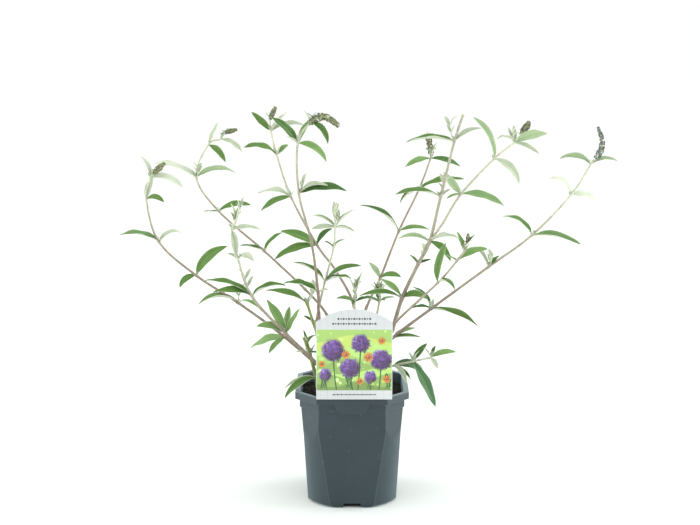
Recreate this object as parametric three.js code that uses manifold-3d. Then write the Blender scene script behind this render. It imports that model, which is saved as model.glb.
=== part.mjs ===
// A butterfly bush (Buddleja) in a nursery pot: sixteen shoots from one woody foot, with a plain
// plant card in the card slot of the pot's rim. Millimetres and degrees, +Z up, -Y is the front.
// The origin is the middle of the pot's flat underside.
import * as THREE from 'three';
import { mergeVertices } from 'three/addons/utils/BufferGeometryUtils.js';
import Module from 'manifold-3d';

const wasm = await Module();
wasm.setup();

// ---- driving dimensions: pot ----------------------------------------------------------------
const GAP = 0.3;                // clearance between neighbouring solids
const ROOM = 0.9;               // clearance of the compost in the pot
const POT_HEIGHT = 171;
const RIM_HALF = 82.5;          // half the width across the rim's flats
const RIM_DIAGONAL = 94.6;      // centre to the rim's chamfered corners
const RIM_LEDGE = 6.4;          // flat top of the rim
const RIM_THICK = 1.8;          // thickness of that flat top
const RIM_SKIRT = 10;           // height of the turned-down lip
const BAND_HEIGHT = 12.6;       // stacking band under the lip
const WALL = 1.5;
const FLOOR = 2;
const ARC_STEPS = 6;            // facets of each corner
// body sections from the underside up: height, centre to flat, corner radius, centre to chamfer.
// The corners are round at the foot and end in chamfers at the shoulder.
const BODY = [[0, 64.2, 67.5, 85], [1, 64.9, 70.2, 85], [3, 65.4, 72.8, 85], [60, 68.4, 79.6, 85.2],
  [104, 70.6, 84.8, 84.9], [112, 71.2, 86, 85.2], [120, 71.8, 87, 85.5], [148.4, 74.2, 90.6, 86.6]];
const BODY_INSIDE = [BODY[7], BODY[4], [FLOOR, 65, 71.3, 85]]; // a wall's thickness outside the hollow
const NOTCH = { width: 28, topWidth: 24, height: 6.5, inner: 58 };
const POCKET = { topWidth: 52, bottomWidth: 34, height: 13, front: 81.9 };
const SLOT = { width: 51, depth: 1.7, y: -78.9 };

// ---- driving dimensions: compost, card, foot --------------------------------------------------
const COMPOST_EDGE = 155;
const COMPOST_MIDDLE = 157;
const COMPOST_CROWN = [26, 1.2]; // a ring this far in from the edge, and this much higher
// the board hangs in front of the lip; its tongue bends back over the rim and stands in the slot
const CARD = { width: 108, side: 112.5, height: 131.5, thick: 1, aside: 3, hang: 1.5, clear: 0.4 };
const CARD_Y = -(RIM_HALF + CARD.clear + CARD.thick / 2);
const TONGUE = { width: 46, depth: 17, taper: 7 };
const FOOT_TOP = 171;
const FOOT_PROFILE = [[21.5, COMPOST_MIDDLE + GAP], [21, 163], [18, 168.5], [11, FOOT_TOP]];
const SHOOT_START = 164;        // height at which the shoots leave the foot's core

// ---- driving dimensions: shoots and leaves ----------------------------------------------------
const STEM_SIDES = 5;
const STEP = 20;                // length of one facet along a stem
const BARE_END = 7;             // a bough ends this far below its first leafy node
const LEAF_WIDTH = 0.25;        // width for each unit of length, of a leaf of middle length
const MIDDLE_LEAF = 50;
const SLIMMING = 0.35;          // how much slimmer than that a longer leaf is
const STOUTEST = 1.2;           // how much wider than that a short leaf is at most
const LEAF_STEPS = 20;          // points along the middle of a leaf
const LEAF_THICK = 0.016;       // thickness for each unit of length
const SMALL_LEAF = 30;          // shorter leaves have fewer facets
const DROOP_BASE = 60;          // bend over a leaf's length: base value plus a share of its rise
const DROOP_SHARE = 0.5;
const FACING = [0, 42];         // range of the twist that turns a blade's face to the front
const SWING = [6, 28];          // leaf pairs turn about their stem, to one side and the other in turn
const TUFT_CHANCE = 0.3;        // chance of a pair of young leaves in a node's axils
const LEAF_CLEAR = 0.8;         // a leaf nearer than this to another shoot is skipped
const SPROUT_THICK = [2, 1.3];  // diameter of a side twig at its foot and its tip
const SPROUT_PAIR = 0.55;       // place of the lower leaf pair on it
const SPIKE_BULGE = [0.2, 0.82]; // part of a half circle that the outline of a bud spike follows
const SPIKE_STEP = 6;           // length of one facet along a bud spike

// Each shoot is a chain of internodes from its foot [x, y], or [x, y, z] for a sucker that stands
// by itself in the compost. A node row is
//   [internode length, lean from upright, heading, leaves...]
// and a leaf is [heading, rise above level, length, (bend over its length), (facing)].
// Headings: 0 is +X (right), 90 is +Y (back), 180 is left, 270 is the front.
// thick: stem diameter at the foot and the tip; bare: leafless nodes below the first leafy one;
// spike: diameter of the flower-bud spike on the last internode, or on the last spikeNodes of them;
// sprout: [node, length] of short side twigs.
const SHOOTS = [
  { name: 'far_left', foot: [-15, 0], thick: [4.7, 2.8], bare: 0, spike: 9.5, sprout: [[1, 16]], nodes: [
    [115, 47, 186, [175, -4, 64, 36, 50], [252, -10, 38, 40]],
    [87, 52, 185, [185, 37, 62], [325, 25, 47, 79]],
    [72, 55, 186, [15, 71, 66, 54, 74], [215, 6, 32, 80, 70]],
    [72, 46, 187, [172, 36, 58, 50], [20, 49, 46, 82, 30]],
    [64, 15, 200, [35, 85, 36, 30, 60], [340, 40, 34, 90, 50]],
    [33, 13, 338, [350, 14, 51, 63, 40], [150, 80, 34, 30]],
    [8, 38, 350], [22, 48, 353]] },
  { name: 'left_inner', foot: [-12, -9], thick: [5, 3.1], bare: 0, spike: 0, sprout: [[1, 26]], nodes: [
    [135, 45, 210, [168, 64, 57, 12, 48], [95, 48, 48, 10], [345, 66, 46, 12, 66], [200, 48, 47, 66, 54]],
    [83, 42, 215, [180, 41, 72, 43, 14], [195, 28, 60, 33, 24], [350, 44, 53, 53, 20]],
    [65, 28, 238, [330, 41, 40, 73, 50], [190, 40, 18, 30]],
    [49, 26, 253, [268, -26, 51, 30], [8, 12, 44, 34, 30]],
    [15, 36, 315, [200, 80, 26, 10], [60, 70, 28, 20]],
    [24, 30, 303, [170, 75, 14, 0], [20, 65, 16, 0]]] },
  { name: 'left_arch', foot: [-6, 9], thick: [4.2, 2.7], bare: 3, spike: 8, sprout: [[5, 12]], nodes: [
    [62, 17, 127], [50, 30, 148], [50, 45, 157],
    [86, 51, 159, [350, 61, 41, 36], [170, 25, 38, 26]],
    [94, 53, 159, [190, 0, 26, 0], [10, 36, 52, 51]],
    [64, 39, 152, [10, 34, 68, 66, 34], [190, 37, 72, 36, 34]],
    [54, 26, 42, [335, -10, 46, 44, 46], [15, 60, 40, -10, 30]],
    [21, 67, 19, [340, -7, 40, 51, 34], [30, 42, 26, 10]],
    [12, 38, 12], [19, 75, 8]] },
  { name: 'tall_left', foot: [2, 13], thick: [4.6, 2.7], bare: 3, spike: 9, sprout: [], nodes: [
    [52, 21, 91], [66, 24, 87], [63, 37, 136],
    [51, 45, 144, [0, 72, 36, 63], [172, 6, 70, 40, 40], [170, 38, 62, 26, 60]],
    [90, 39, 137, [174, 22, 66, 46, 20], [202, -6, 52, 40, 40]],
    [73, 32, 127, [186, 48, 58, 70, 40], [340, 66, 26, 50, 70]],
    [41, 29, 118, [170, 40, 46, 0, 54], [10, 35, 56, 50], [350, 52, 42, 10]],
    [19, 14, 110], [21, 25, 15]] },
  { name: 'tall_left_front', foot: [-4, -12], thick: [4.5, 2.8], bare: 2, spike: 10, spikeNodes: 2,
    sprout: [[4, 14]], nodes: [
      [75, 31, 208], [63, 19, 242],
      [33, 18, 267, [185, 38, 53, 48], [340, 40, 20, 40]],
      [81, 20, 253],
      [80, 23, 239, [355, 26, 74, 38, 48], [350, 42, 50, 50, 30]],
      [76, 21, 270, [174, 60, 50, 30, 64], [350, -2, 48, 66, 50], [25, 50, 38, 0], [195, 30, 20, 0]],
      [36, 38, 323, [340, -2, 42, 84, 40]],
      [22, 67, 335], [23, 117, 333]] },
  { name: 'centre_thin', foot: [-7, -3], thick: [4.1, 2.7], bare: 2, spike: 0, sprout: [[4, 14]], nodes: [
    [76, 34, 208], [46, 18, 241],
    [68, 20, 303, [0, 47, 62, 42], [342, 32, 51, 40], [175, 50, 56, 48]],
    [56, 22, 307, [10, 60, 22, 60], [190, 50, 18, 30]],
    [33, 19, 283, [175, 45, 37, 40], [200, 9, 34, 26], [10, 54, 38, 24], [345, 5, 30, 30]],
    [12, 19, 271, [90, 76, 26, 10], [272, 76, 26, 10]],
    [13, 19, 271, [170, 76, 13, 0], [10, 76, 13, 0]]] },
  { name: 'centre_right', foot: [9, 8], thick: [4.5, 2.7], bare: 2, spike: 9, sprout: [[5, 12]], nodes: [
    [70, 30, 92], [53, 34, 62],
    [54, 40, 51, [165, 58, 31, 32, 50], [350, 34, 40, 50, 52]],
    [84, 38, 55, [176, 61, 76, 57], [354, 18, 50, 36, 34]],
    [80, 41, 51, [205, -15, 39, 40], [8, 32, 74, 38]],
    [57, 37, 56, [186, 4, 48, 34, 46], [350, 0, 52, 32, 46], [90, 84, 18, 0]],
    [10, 31, 77, [180, 40, 12, 0], [0, 40, 12, 0]],
    [36, 25, 112]] },
  { name: 'right_cut', foot: [10, -3], thick: [6.9, 3.3], bare: 2, spike: 0,
    sprout: [[3, 20], [5, 18], [6, 24]], nodes: [
      [57, 36, 338], [52, 23, 328],
      [53, 20, 320, [205, 53, 45, 26, 50], [185, 24, 66, 44, 16], [330, 34, 46, 62, 54]],
      [58, 26, 329, [180, 46, 20, 0], [340, 20, 20, 0]],
      [38, 28, 329, [190, 29, 47, 58, 30], [345, 0, 44, 70, 50], [344, 34, 50, 44]],
      [70, 18, 309, [180, 26, 68, 44, 14], [350, 45, 18, 20]],
      [83, 19, 307, [180, 16, 68, 36, 10], [0, 48, 42, 46, 40]],
      [40, 22, 314]] },
  { name: 'right_tall', fork: ['right_cut', 4], thick: [4, 3], bare: 1, spike: 13,
    sprout: [[3, 14]], nodes: [
      [37, 52, 47],
      [60, 52, 53, [354, 2, 70, 40, 44], [150, 52, 40, 0, 76], [195, -5, 28, 10]],
      [90, 60, 47, [175, 86, 72, 50, 36], [350, -10, 56, 70, 46]],
      [51, 66, 44, [0, 30, 56, 32, 58], [186, 52, 35, 84], [338, -20, 40, 10], [90, 82, 26, 0]],
      [22, 58, 50], [24, 44, 40]] },
  { name: 'right_thin', foot: [5, -13], thick: [4.3, 2.7], bare: 2, spike: 6, sprout: [], nodes: [
    [91, 32, 306], [58, 44, 316],
    [101, 49, 315, [40, 86, 56, 20], [320, 34, 39, 82]],
    [52, 46, 309, [0, 36, 48, 44, 44], [170, 30, 16, 0]],
    [22, 44, 305, [180, 68, 27, 0], [0, 58, 27, 0]],
    [9, 25, 330], [15, 6, 300]] },
  { name: 'far_right', foot: [17, 3], thick: [4.8, 2.9], bare: 1, spike: 9, spikeNodes: 2,
    sprout: [[3, 12]], nodes: [
    [43, 20, 9],
    [43, 41, 5, [5, 30, 42, 30], [335, 12, 42, 22]],
    [73, 53, 5, [354, -2, 76, 28, 26], [195, 20, 33, 40], [160, 65, 46, 49]],
    [104, 54, 5, [110, 58, 41, 33], [0, 50, 24, 20]],
    [79, 54, 5, [178, 60, 54, 66, 24], [354, 8, 74, 30, 26]],
    [82, 44, 6, [186, 74, 50, 76, 50], [0, 14, 48, 60, 44]],
    [53, 33, 8, [180, 43, 50, 66], [0, 42, 42, 71]],
    [12, 47, 6], [24, 18, 10], [25, 16, 172]] },
  { name: 'low_right', foot: [15, -9], thick: [4.2, 2.9], bare: 1, spike: 0, sprout: [], nodes: [
    [39, 36, 326],
    [30, 70, 335, [335, 28, 50, 92, 55], [318, -18, 33, 33], [280, -2, 42, 46]],
    [33, 72, 334, [20, 64, 34, 30, 66], [325, -44, 74, 20]],
    [30, 72, 333, [0, 30, 39, 40], [280, -20, 24, 20], [200, 60, 22, 20], [40, 60, 20, 20]]] },
  { name: 'cut_left', foot: [-14, 8], thick: [4.6, 4], bare: 2, spike: 0, sprout: [[3, 26]], nodes: [
    [26, 45, 178], [62, 18, 175],
    [20, 18, 175, [170, 30, 18, 0], [350, 30, 14, 0]],
    [29, 17, 174, [182, 38, 69, 32]],
    [3, 17, 174]] },
  { name: 'cut_stub', foot: [-48, -18, 156.9], thick: [5.6, 5], bare: 1, spike: 0, sprout: [], nodes: [
    [16, 12, 212],
    [12, 12, 212, [203, 7, 62, 58], [160, -2, 53, 40], [186, 2, 32, 10]],
    [40, 15, 210, [322, 24, 22, 30], [182, 10, 22, 20], [330, 55, 20, 10]],
    [14, 18, 205, [120, 70, 22, 0], [30, 58, 24, 70]],
    [12, 20, 203]] },
  { name: 'short_centre', foot: [1, -5], thick: [4.4, 3.2], bare: 1, spike: 0, sprout: [], nodes: [
    [72, 6, 262],
    [62, 7, 298, [182, 30, 30, 30], [350, 25, 26, 30],
      [60, 40, 20, 20], [240, 20, 22, 40]],
    [12, 9, 315, [0, 72, 38, 0], [200, 70, 26, 0], [100, 60, 24, 0], [300, 55, 22, 20]],
    [10, 9, 315, [170, 76, 16, 0], [20, 76, 16, 0]]] },
  { name: 'short_right', foot: [4, 4], thick: [4.4, 3.2], bare: 1, spike: 0, sprout: [], nodes: [
    [70, 20, 14],
    [62, 14, 28, [192, 24, 32, 10], [340, 30, 24, 30],
      [260, 30, 26, 30], [80, 40, 20, 20]],
    [11, 8, 62, [170, 60, 22, 0], [215, 50, 24, 0], [10, 60, 20, 0], [300, 50, 20, 30]],
    [9, 8, 62, [180, 74, 16, 0], [10, 74, 14, 0]]] },
];

// ---- colours -----------------------------------------------------------------------------------
const paint = (color, roughness) => new THREE.MeshStandardMaterial({ color, roughness, metalness: 0 });
const potPlastic = paint(0x46555c, 0.45);
const compostBrown = paint(0x2b211a, 1);
const cardWhite = paint(0xe9edf0, 0.4);
const bark = paint(0x8c7a70, 0.8);
const foliage = paint(0x5c8f47, 0.7);

// ---- small helpers -----------------------------------------------------------------------------
const rad = THREE.MathUtils.degToRad;

// Repeatable random numbers from 0 to 1.
function randomFrom(seed) {
  let state = seed;
  return () => {
    state = (state + 0x6d2b79f5) | 0;
    let t = Math.imul(state ^ (state >>> 15), 1 | state);
    t = (t + Math.imul(t ^ (t >>> 7), 61 | t)) ^ t;
    return ((t ^ (t >>> 14)) >>> 0) / 4294967296;
  };
}

function direction(lean, heading) {
  const out = Math.sin(rad(lean));
  return new THREE.Vector3(out * Math.cos(rad(heading)), out * Math.sin(rad(heading)), Math.cos(rad(lean)));
}

function toSolid(geometry) {
  const bare = geometry.clone();
  bare.deleteAttribute('normal');
  bare.deleteAttribute('uv');
  const merged = mergeVertices(bare, 1e-5);
  return new wasm.Manifold(new wasm.Mesh({
    numProp: 3,
    vertProperties: new Float32Array(merged.attributes.position.array),
    triVerts: new Uint32Array(merged.index.array),
  }));
}

function toGeometry(solid) {
  const mesh = solid.getMesh();
  const geometry = new THREE.BufferGeometry();
  geometry.setAttribute('position', new THREE.BufferAttribute(new Float32Array(mesh.vertProperties), 3));
  geometry.setIndex(new THREE.BufferAttribute(new Uint32Array(mesh.triVerts), 1));
  geometry.computeVertexNormals();
  return geometry;
}

// Closed skin over rings of points that all have the same count and run anticlockwise about the
// way of travel. Each end is closed by a fan round the given point, or flat where there is none.
function skin(rings, first, last) {
  const count = rings[0].length;
  const positions = [];
  const indices = [];
  for (const ring of rings) {
    for (const point of ring) positions.push(point.x, point.y, point.z);
  }
  for (let r = 0; r + 1 < rings.length; r++) {
    for (let i = 0; i < count; i++) {
      const j = (i + 1) % count;
      const a = r * count + i;
      const b = r * count + j;
      indices.push(a, b, b + count, a, b + count, a + count);
    }
  }
  const close = (ringStart, point, turned) => {
    const hub = point ? positions.length / 3 : ringStart;
    if (point) positions.push(point.x, point.y, point.z);
    for (let i = point ? 0 : 1; i < (point ? count : count - 1); i++) {
      const a = ringStart + i;
      const b = ringStart + ((i + 1) % count);
      indices.push(...(turned ? [hub, b, a] : [hub, a, b]));
    }
  };
  close(0, first, true);
  close((rings.length - 1) * count, last, false);
  const geometry = new THREE.BufferGeometry();
  geometry.setAttribute('position', new THREE.Float32BufferAttribute(positions, 3));
  geometry.setIndex(indices);
  return geometry;
}

// ---- pot -----------------------------------------------------------------------------------------
// A square section whose corners are round as far as the chamfer lets them, all in one ring.
function potRing(z, flat, round, chamfer) {
  const reach = Math.min(Math.sqrt(round * round - flat * flat), chamfer * Math.SQRT2 - flat);
  const edge = Math.atan2(reach, flat);
  const ring = [];
  for (let quarter = 0; quarter < 4; quarter++) {
    for (let k = 0; k <= ARC_STEPS; k++) {
      const inQuarter = edge + ((Math.PI / 2 - 2 * edge) * k) / ARC_STEPS;
      const radius = Math.min(round, chamfer / Math.cos(inQuarter - Math.PI / 4));
      const angle = inQuarter + (quarter * Math.PI) / 2;
      ring.push(new THREE.Vector3(radius * Math.cos(angle), radius * Math.sin(angle), z));
    }
  }
  return ring;
}

const rimRing = (z, inset) => potRing(z, RIM_HALF - inset, 2 * RIM_HALF, RIM_DIAGONAL - inset);
const bodyRing = ([height, flat, round, chamfer], inset, z = height) => (
  potRing(z, flat - inset, round - inset, chamfer - inset));

// Trapezium prism standing across the front: wide at one end, centred on x = 0.
function trapezium(bottomWidth, topWidth, z0, z1, y0, y1) {
  const shape = new THREE.Shape();
  shape.moveTo(-bottomWidth / 2, z0);
  shape.lineTo(bottomWidth / 2, z0);
  shape.lineTo(topWidth / 2, z1);
  shape.lineTo(-topWidth / 2, z1);
  const geometry = new THREE.ExtrudeGeometry(shape, { depth: y1 - y0, bevelEnabled: false });
  geometry.rotateX(Math.PI / 2);
  geometry.translate(0, y1, 0);
  return geometry;
}

function makePot() {
  const lipBottom = POT_HEIGHT - RIM_SKIRT;
  const bandBottom = lipBottom - BAND_HEIGHT;
  const [bodyTop, shoulder, foot] = BODY_INSIDE;
  const rings = [
    ...BODY.map((row) => bodyRing(row, 0)),
    rimRing(bandBottom, RIM_LEDGE),
    rimRing(POT_HEIGHT - RIM_THICK, RIM_LEDGE),
    rimRing(POT_HEIGHT - RIM_THICK, WALL),
    rimRing(lipBottom, WALL),
    rimRing(lipBottom, 0),
    rimRing(POT_HEIGHT - 1, 0),
    rimRing(POT_HEIGHT, 1),
    rimRing(POT_HEIGHT, RIM_LEDGE + WALL),
    rimRing(bandBottom + WALL, RIM_LEDGE + WALL),
    bodyRing(bodyTop, WALL),
    bodyRing(shoulder, WALL),
    bodyRing(foot, WALL),
  ];
  let pot = toSolid(skin(rings, new THREE.Vector3(0, 0, 0), new THREE.Vector3(0, 0, FLOOR)));
  const pocketBack = -(RIM_HALF - RIM_LEDGE) + 0.5;
  const pocket = trapezium(POCKET.bottomWidth, POCKET.topWidth, lipBottom - POCKET.height, lipBottom + 0.5,
    -POCKET.front, pocketBack);
  pot = pot.add(toSolid(pocket));
  const slot = trapezium(POCKET.bottomWidth - 5, SLOT.width, lipBottom - POCKET.height + 2, POT_HEIGHT + 1,
    SLOT.y - SLOT.depth / 2, SLOT.y + SLOT.depth / 2);
  pot = pot.subtract(toSolid(slot));
  for (let side = 0; side < 4; side++) {
    const notch = trapezium(NOTCH.width, NOTCH.topWidth, -1, NOTCH.height, -shoulder[1], -NOTCH.inner);
    notch.rotateZ((side * Math.PI) / 2);
    pot = pot.subtract(toSolid(notch));
  }
  return toGeometry(pot);
}

function makeCompost() {
  const inset = WALL + ROOM;
  const [bodyTop, shoulder, foot] = BODY_INSIDE;
  const rings = [
    bodyRing(foot, inset, FLOOR + ROOM),
    bodyRing(shoulder, inset),
    bodyRing(bodyTop, inset),
    rimRing(bodyTop[0] + WALL + 1, RIM_LEDGE + inset),
    rimRing(COMPOST_EDGE, RIM_LEDGE + inset),
    rimRing(COMPOST_EDGE + COMPOST_CROWN[1], RIM_LEDGE + inset + COMPOST_CROWN[0]),
  ];
  return skin(rings, new THREE.Vector3(0, 0, FLOOR + ROOM), new THREE.Vector3(0, 0, COMPOST_MIDDLE));
}

// ---- plant card: an arched board and its bent tongue, about the middle of the rim's top edge --------
function makeCard() {
  const rise = CARD.height - CARD.side;
  const half = CARD.width / 2;
  const radius = (half * half + rise * rise) / (2 * rise);
  const sweep = Math.asin(half / radius);
  const shape = new THREE.Shape();
  shape.moveTo(-half, 0);
  shape.lineTo(half, 0);
  shape.lineTo(half, CARD.side);
  shape.absarc(0, CARD.height - radius, radius, Math.PI / 2 - sweep, Math.PI / 2 + sweep, false);
  const depth = CARD.thick;
  const board = new THREE.ExtrudeGeometry(shape, { depth, bevelEnabled: false, curveSegments: 12 });
  board.rotateX(Math.PI / 2);
  board.translate(CARD.aside, depth / 2, -CARD.hang);
  const back = SLOT.y - CARD_Y + depth / 2;
  const bend = trapezium(TONGUE.width, TONGUE.width, 0, depth, 0, back);
  const point = TONGUE.width - 2 * TONGUE.taper;
  const tongue = trapezium(point, TONGUE.width, -TONGUE.depth, depth, back - depth, back);
  return toGeometry(toSolid(board).add(toSolid(bend)).add(toSolid(tongue)));
}

// ---- woody foot: a low knuckle that carries the shoots ----------------------------------------------
function footSkin(grow) {
  const profile = [new THREE.Vector2(0, FOOT_PROFILE[0][1] - grow)];
  for (const [radius, z] of FOOT_PROFILE) {
    profile.push(new THREE.Vector2(radius + grow, z + (z === FOOT_PROFILE[0][1] ? -grow : grow * 0.6)));
  }
  profile.push(new THREE.Vector2(0, FOOT_TOP + grow));
  const geometry = new THREE.LatheGeometry(profile, 14);
  geometry.rotateX(Math.PI / 2);
  return geometry;
}

// ---- shoots ------------------------------------------------------------------------------------------
// Joints of a shoot's chain: the foot, then one point for each node.
function chainOf(shoot, start) {
  const joints = [start.clone()];
  for (const [length, lean, heading] of shoot.nodes) {
    const end = joints[joints.length - 1].clone();
    joints.push(end.addScaledVector(direction(lean, heading), length));
  }
  return joints;
}

// A smooth curve through the joints, with its length measured along it.
class Stem {
  constructor(shoot, start) {
    this.shoot = shoot;
    this.joints = chainOf(shoot, start);
    this.curve = new THREE.CatmullRomCurve3(this.joints, false, 'catmullrom', 0.5);
    this.curve.arcLengthDivisions = 40 * this.joints.length;
    this.length = this.curve.getLength();
  }

  // Distance along the stem of a joint.
  at(joint) {
    const lengths = this.curve.getLengths();
    return lengths[Math.round((joint / (this.joints.length - 1)) * (lengths.length - 1))];
  }

  point(distance) {
    return this.curve.getPointAt(THREE.MathUtils.clamp(distance / this.length, 0, 1));
  }

  tangent(distance) {
    return this.curve.getTangentAt(THREE.MathUtils.clamp(distance / this.length, 0, 1));
  }

  radius(distance) {
    const [foot, tip] = this.shoot.thick;
    return THREE.MathUtils.lerp(foot, tip, distance / this.length) / 2;
  }
}

// Distances from one place on a stem to another, about a step apart, every joint among them.
function stations(stem, from, to, step) {
  const joints = stem.joints.map((_, joint) => stem.at(joint));
  const marks = [from, ...joints.filter((mark) => mark > from + 2 && mark < to - 2), to];
  const distances = [from];
  for (let i = 1; i < marks.length; i++) {
    const count = Math.max(1, Math.round((marks[i] - marks[i - 1]) / step));
    for (let k = 1; k <= count; k++) {
      distances.push(THREE.MathUtils.lerp(marks[i - 1], marks[i], k / count));
    }
  }
  return distances;
}

// Round limb that follows a stem between two distances; radiusAt gives its radius there.
function limb(stem, from, to, radiusAt, sides = STEM_SIDES, step = STEP) {
  const rings = [];
  let side = new THREE.Vector3(0, 1, 0);
  for (const distance of stations(stem, from, to, step)) {
    const along = stem.tangent(distance);
    side = side.addScaledVector(along, -side.dot(along)).normalize();
    const across = along.clone().cross(side);
    const middle = stem.point(distance);
    const ring = [];
    for (let k = 0; k < sides; k++) {
      const angle = (k / sides) * 2 * Math.PI;
      ring.push(middle.clone()
        .addScaledVector(side, Math.cos(angle) * radiusAt(distance))
        .addScaledVector(across, Math.sin(angle) * radiusAt(distance)));
    }
    rings.push(ring);
  }
  return skin(rings);
}

// ---- leaves ------------------------------------------------------------------------------------------
// half-width of a blade along its length, as a share of its full half-width; the root is a stalk
const LONG_BLADE = [[0, 0.14], [0.1, 0.18], [0.4, 1], [0.75, 0.6]];
const SHORT_BLADE = [[0, 0.25], [0.42, 1]];

// One closed lance-shaped blade with a keel along its underside, bent down along its length.
function leaf(base, heading, rise, length, bend, facing) {
  const width = length * LEAF_WIDTH * Math.min(STOUTEST, (MIDDLE_LEAF / length) ** SLIMMING);
  const thick = Math.max(0.9, length * LEAF_THICK);
  const twist = rad(facing * Math.cos(rad(heading)));
  const level = new THREE.Vector3(-Math.sin(rad(heading)), Math.cos(rad(heading)), 0);
  const blade = length < SMALL_LEAF ? SHORT_BLADE : LONG_BLADE;
  const spine = [base.clone()];
  for (let i = 0; i < LEAF_STEPS; i++) {
    const along = direction(90 - rise + (bend * (i + 0.5)) / LEAF_STEPS, heading);
    spine.push(spine[i].clone().addScaledVector(along, length / LEAF_STEPS));
  }
  const rings = blade.map(([share, wide]) => {
    const middle = spine[Math.round(share * LEAF_STEPS)];
    const along = direction(90 - (rise - bend * share), heading);
    const up = along.clone().cross(level).normalize();
    const across = level.clone().multiplyScalar(Math.cos(twist)).addScaledVector(up, Math.sin(twist));
    const normal = up.clone().multiplyScalar(Math.cos(twist)).addScaledVector(level, -Math.sin(twist));
    const half = Math.max((width / 2) * wide, 0.6);
    return [
      middle.clone().addScaledVector(across, half),
      middle.clone().addScaledVector(across, -half),
      middle.clone().addScaledVector(normal, -thick),
    ];
  });
  const halfAt = (share) => {
    const next = Math.max(1, blade.findIndex(([s]) => s > share));
    const [s0, w0] = blade[next - 1];
    const [s1, w1] = next < blade.length && share < blade[blade.length - 1][0] ? blade[next] : [1, 0];
    return (width / 2) * THREE.MathUtils.mapLinear(share, s0, s1, w0, w1);
  };
  const halves = spine.map((_, i) => halfAt(i / LEAF_STEPS));
  return { geometry: skin(rings, null, spine[LEAF_STEPS]), spine, halves };
}

// ---- places already taken, so that no leaf touches another shoot --------------------------------------
const taken = [];

function take(owner, point, radius) {
  taken.push({ owner, point, radius });
}

function isClear(owner, blade) {
  return blade.spine.every((point, i) => taken.every((place) => place.owner === owner
    || place.point.distanceTo(point) > place.radius + blade.halves[i] + LEAF_CLEAR));
}

// ---- build --------------------------------------------------------------------------------------------
const group = new THREE.Group();

function addMesh(name, geometry, material) {
  geometry.computeVertexNormals();
  const mesh = new THREE.Mesh(geometry, material);
  mesh.name = name;
  group.add(mesh);
  return mesh;
}

addMesh('pot', makePot(), potPlastic);
addMesh('compost', makeCompost(), compostBrown);
const card = addMesh('plant_card', makeCard(), cardWhite);
card.position.set(0, CARD_Y, POT_HEIGHT + GAP);
addMesh('woody_foot', footSkin(0), bark);
const footRoom = toSolid(footSkin(GAP));

const stems = {};

// How far from its joint a forked shoot starts, to stand clear of the stem that carries it.
function forkClearance(stem) {
  const { fork } = stem.shoot;
  if (!fork) return 0;
  const carrier = stems[fork[0]];
  return carrier.radius(carrier.at(fork[1] + 1)) + stem.radius(0);
}

for (const shoot of SHOOTS) {
  const start = shoot.fork
    ? stems[shoot.fork[0]].joints[shoot.fork[1] + 1].clone()
    : new THREE.Vector3(shoot.foot[0], shoot.foot[1], shoot.foot[2] ?? SHOOT_START);
  const stem = new Stem(shoot, start);
  stems[shoot.name] = stem;
  for (let distance = forkClearance(stem); distance <= stem.length; distance += 4) {
    take(shoot.name, stem.point(distance), stem.radius(distance));
  }
}

// The bough: the bare lower length of a shoot, cut clear of the foot or of the stem it forks from.
function makeBough(stem, end) {
  const bough = toSolid(limb(stem, forkClearance(stem), end, (distance) => stem.radius(distance)));
  return toGeometry(bough.subtract(footRoom));
}

// A short side twig with two pairs of young leaves, rising from a node.
function sprout(owner, base, heading, length, random) {
  const twigShoot = {
    thick: SPROUT_THICK,
    nodes: [[length * SPROUT_PAIR, 30, heading], [length * (1 - SPROUT_PAIR), 18, heading]],
  };
  const twig = new Stem(twigShoot, base);
  const parts = [toSolid(limb(twig, 0, twig.length, (distance) => twig.radius(distance), 3, length / 2))];
  for (const share of [SPROUT_PAIR, 0.98]) {
    for (const half of [0, 180]) {
      const toward = heading + 90 + half + 40 * (random() - 0.5);
      const blade = leaf(twig.point(twig.length * share), toward, 62, 13 + 9 * random(), 20, 40);
      if (isClear(owner, blade)) parts.push(toSolid(blade.geometry));
    }
  }
  return parts;
}

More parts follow.
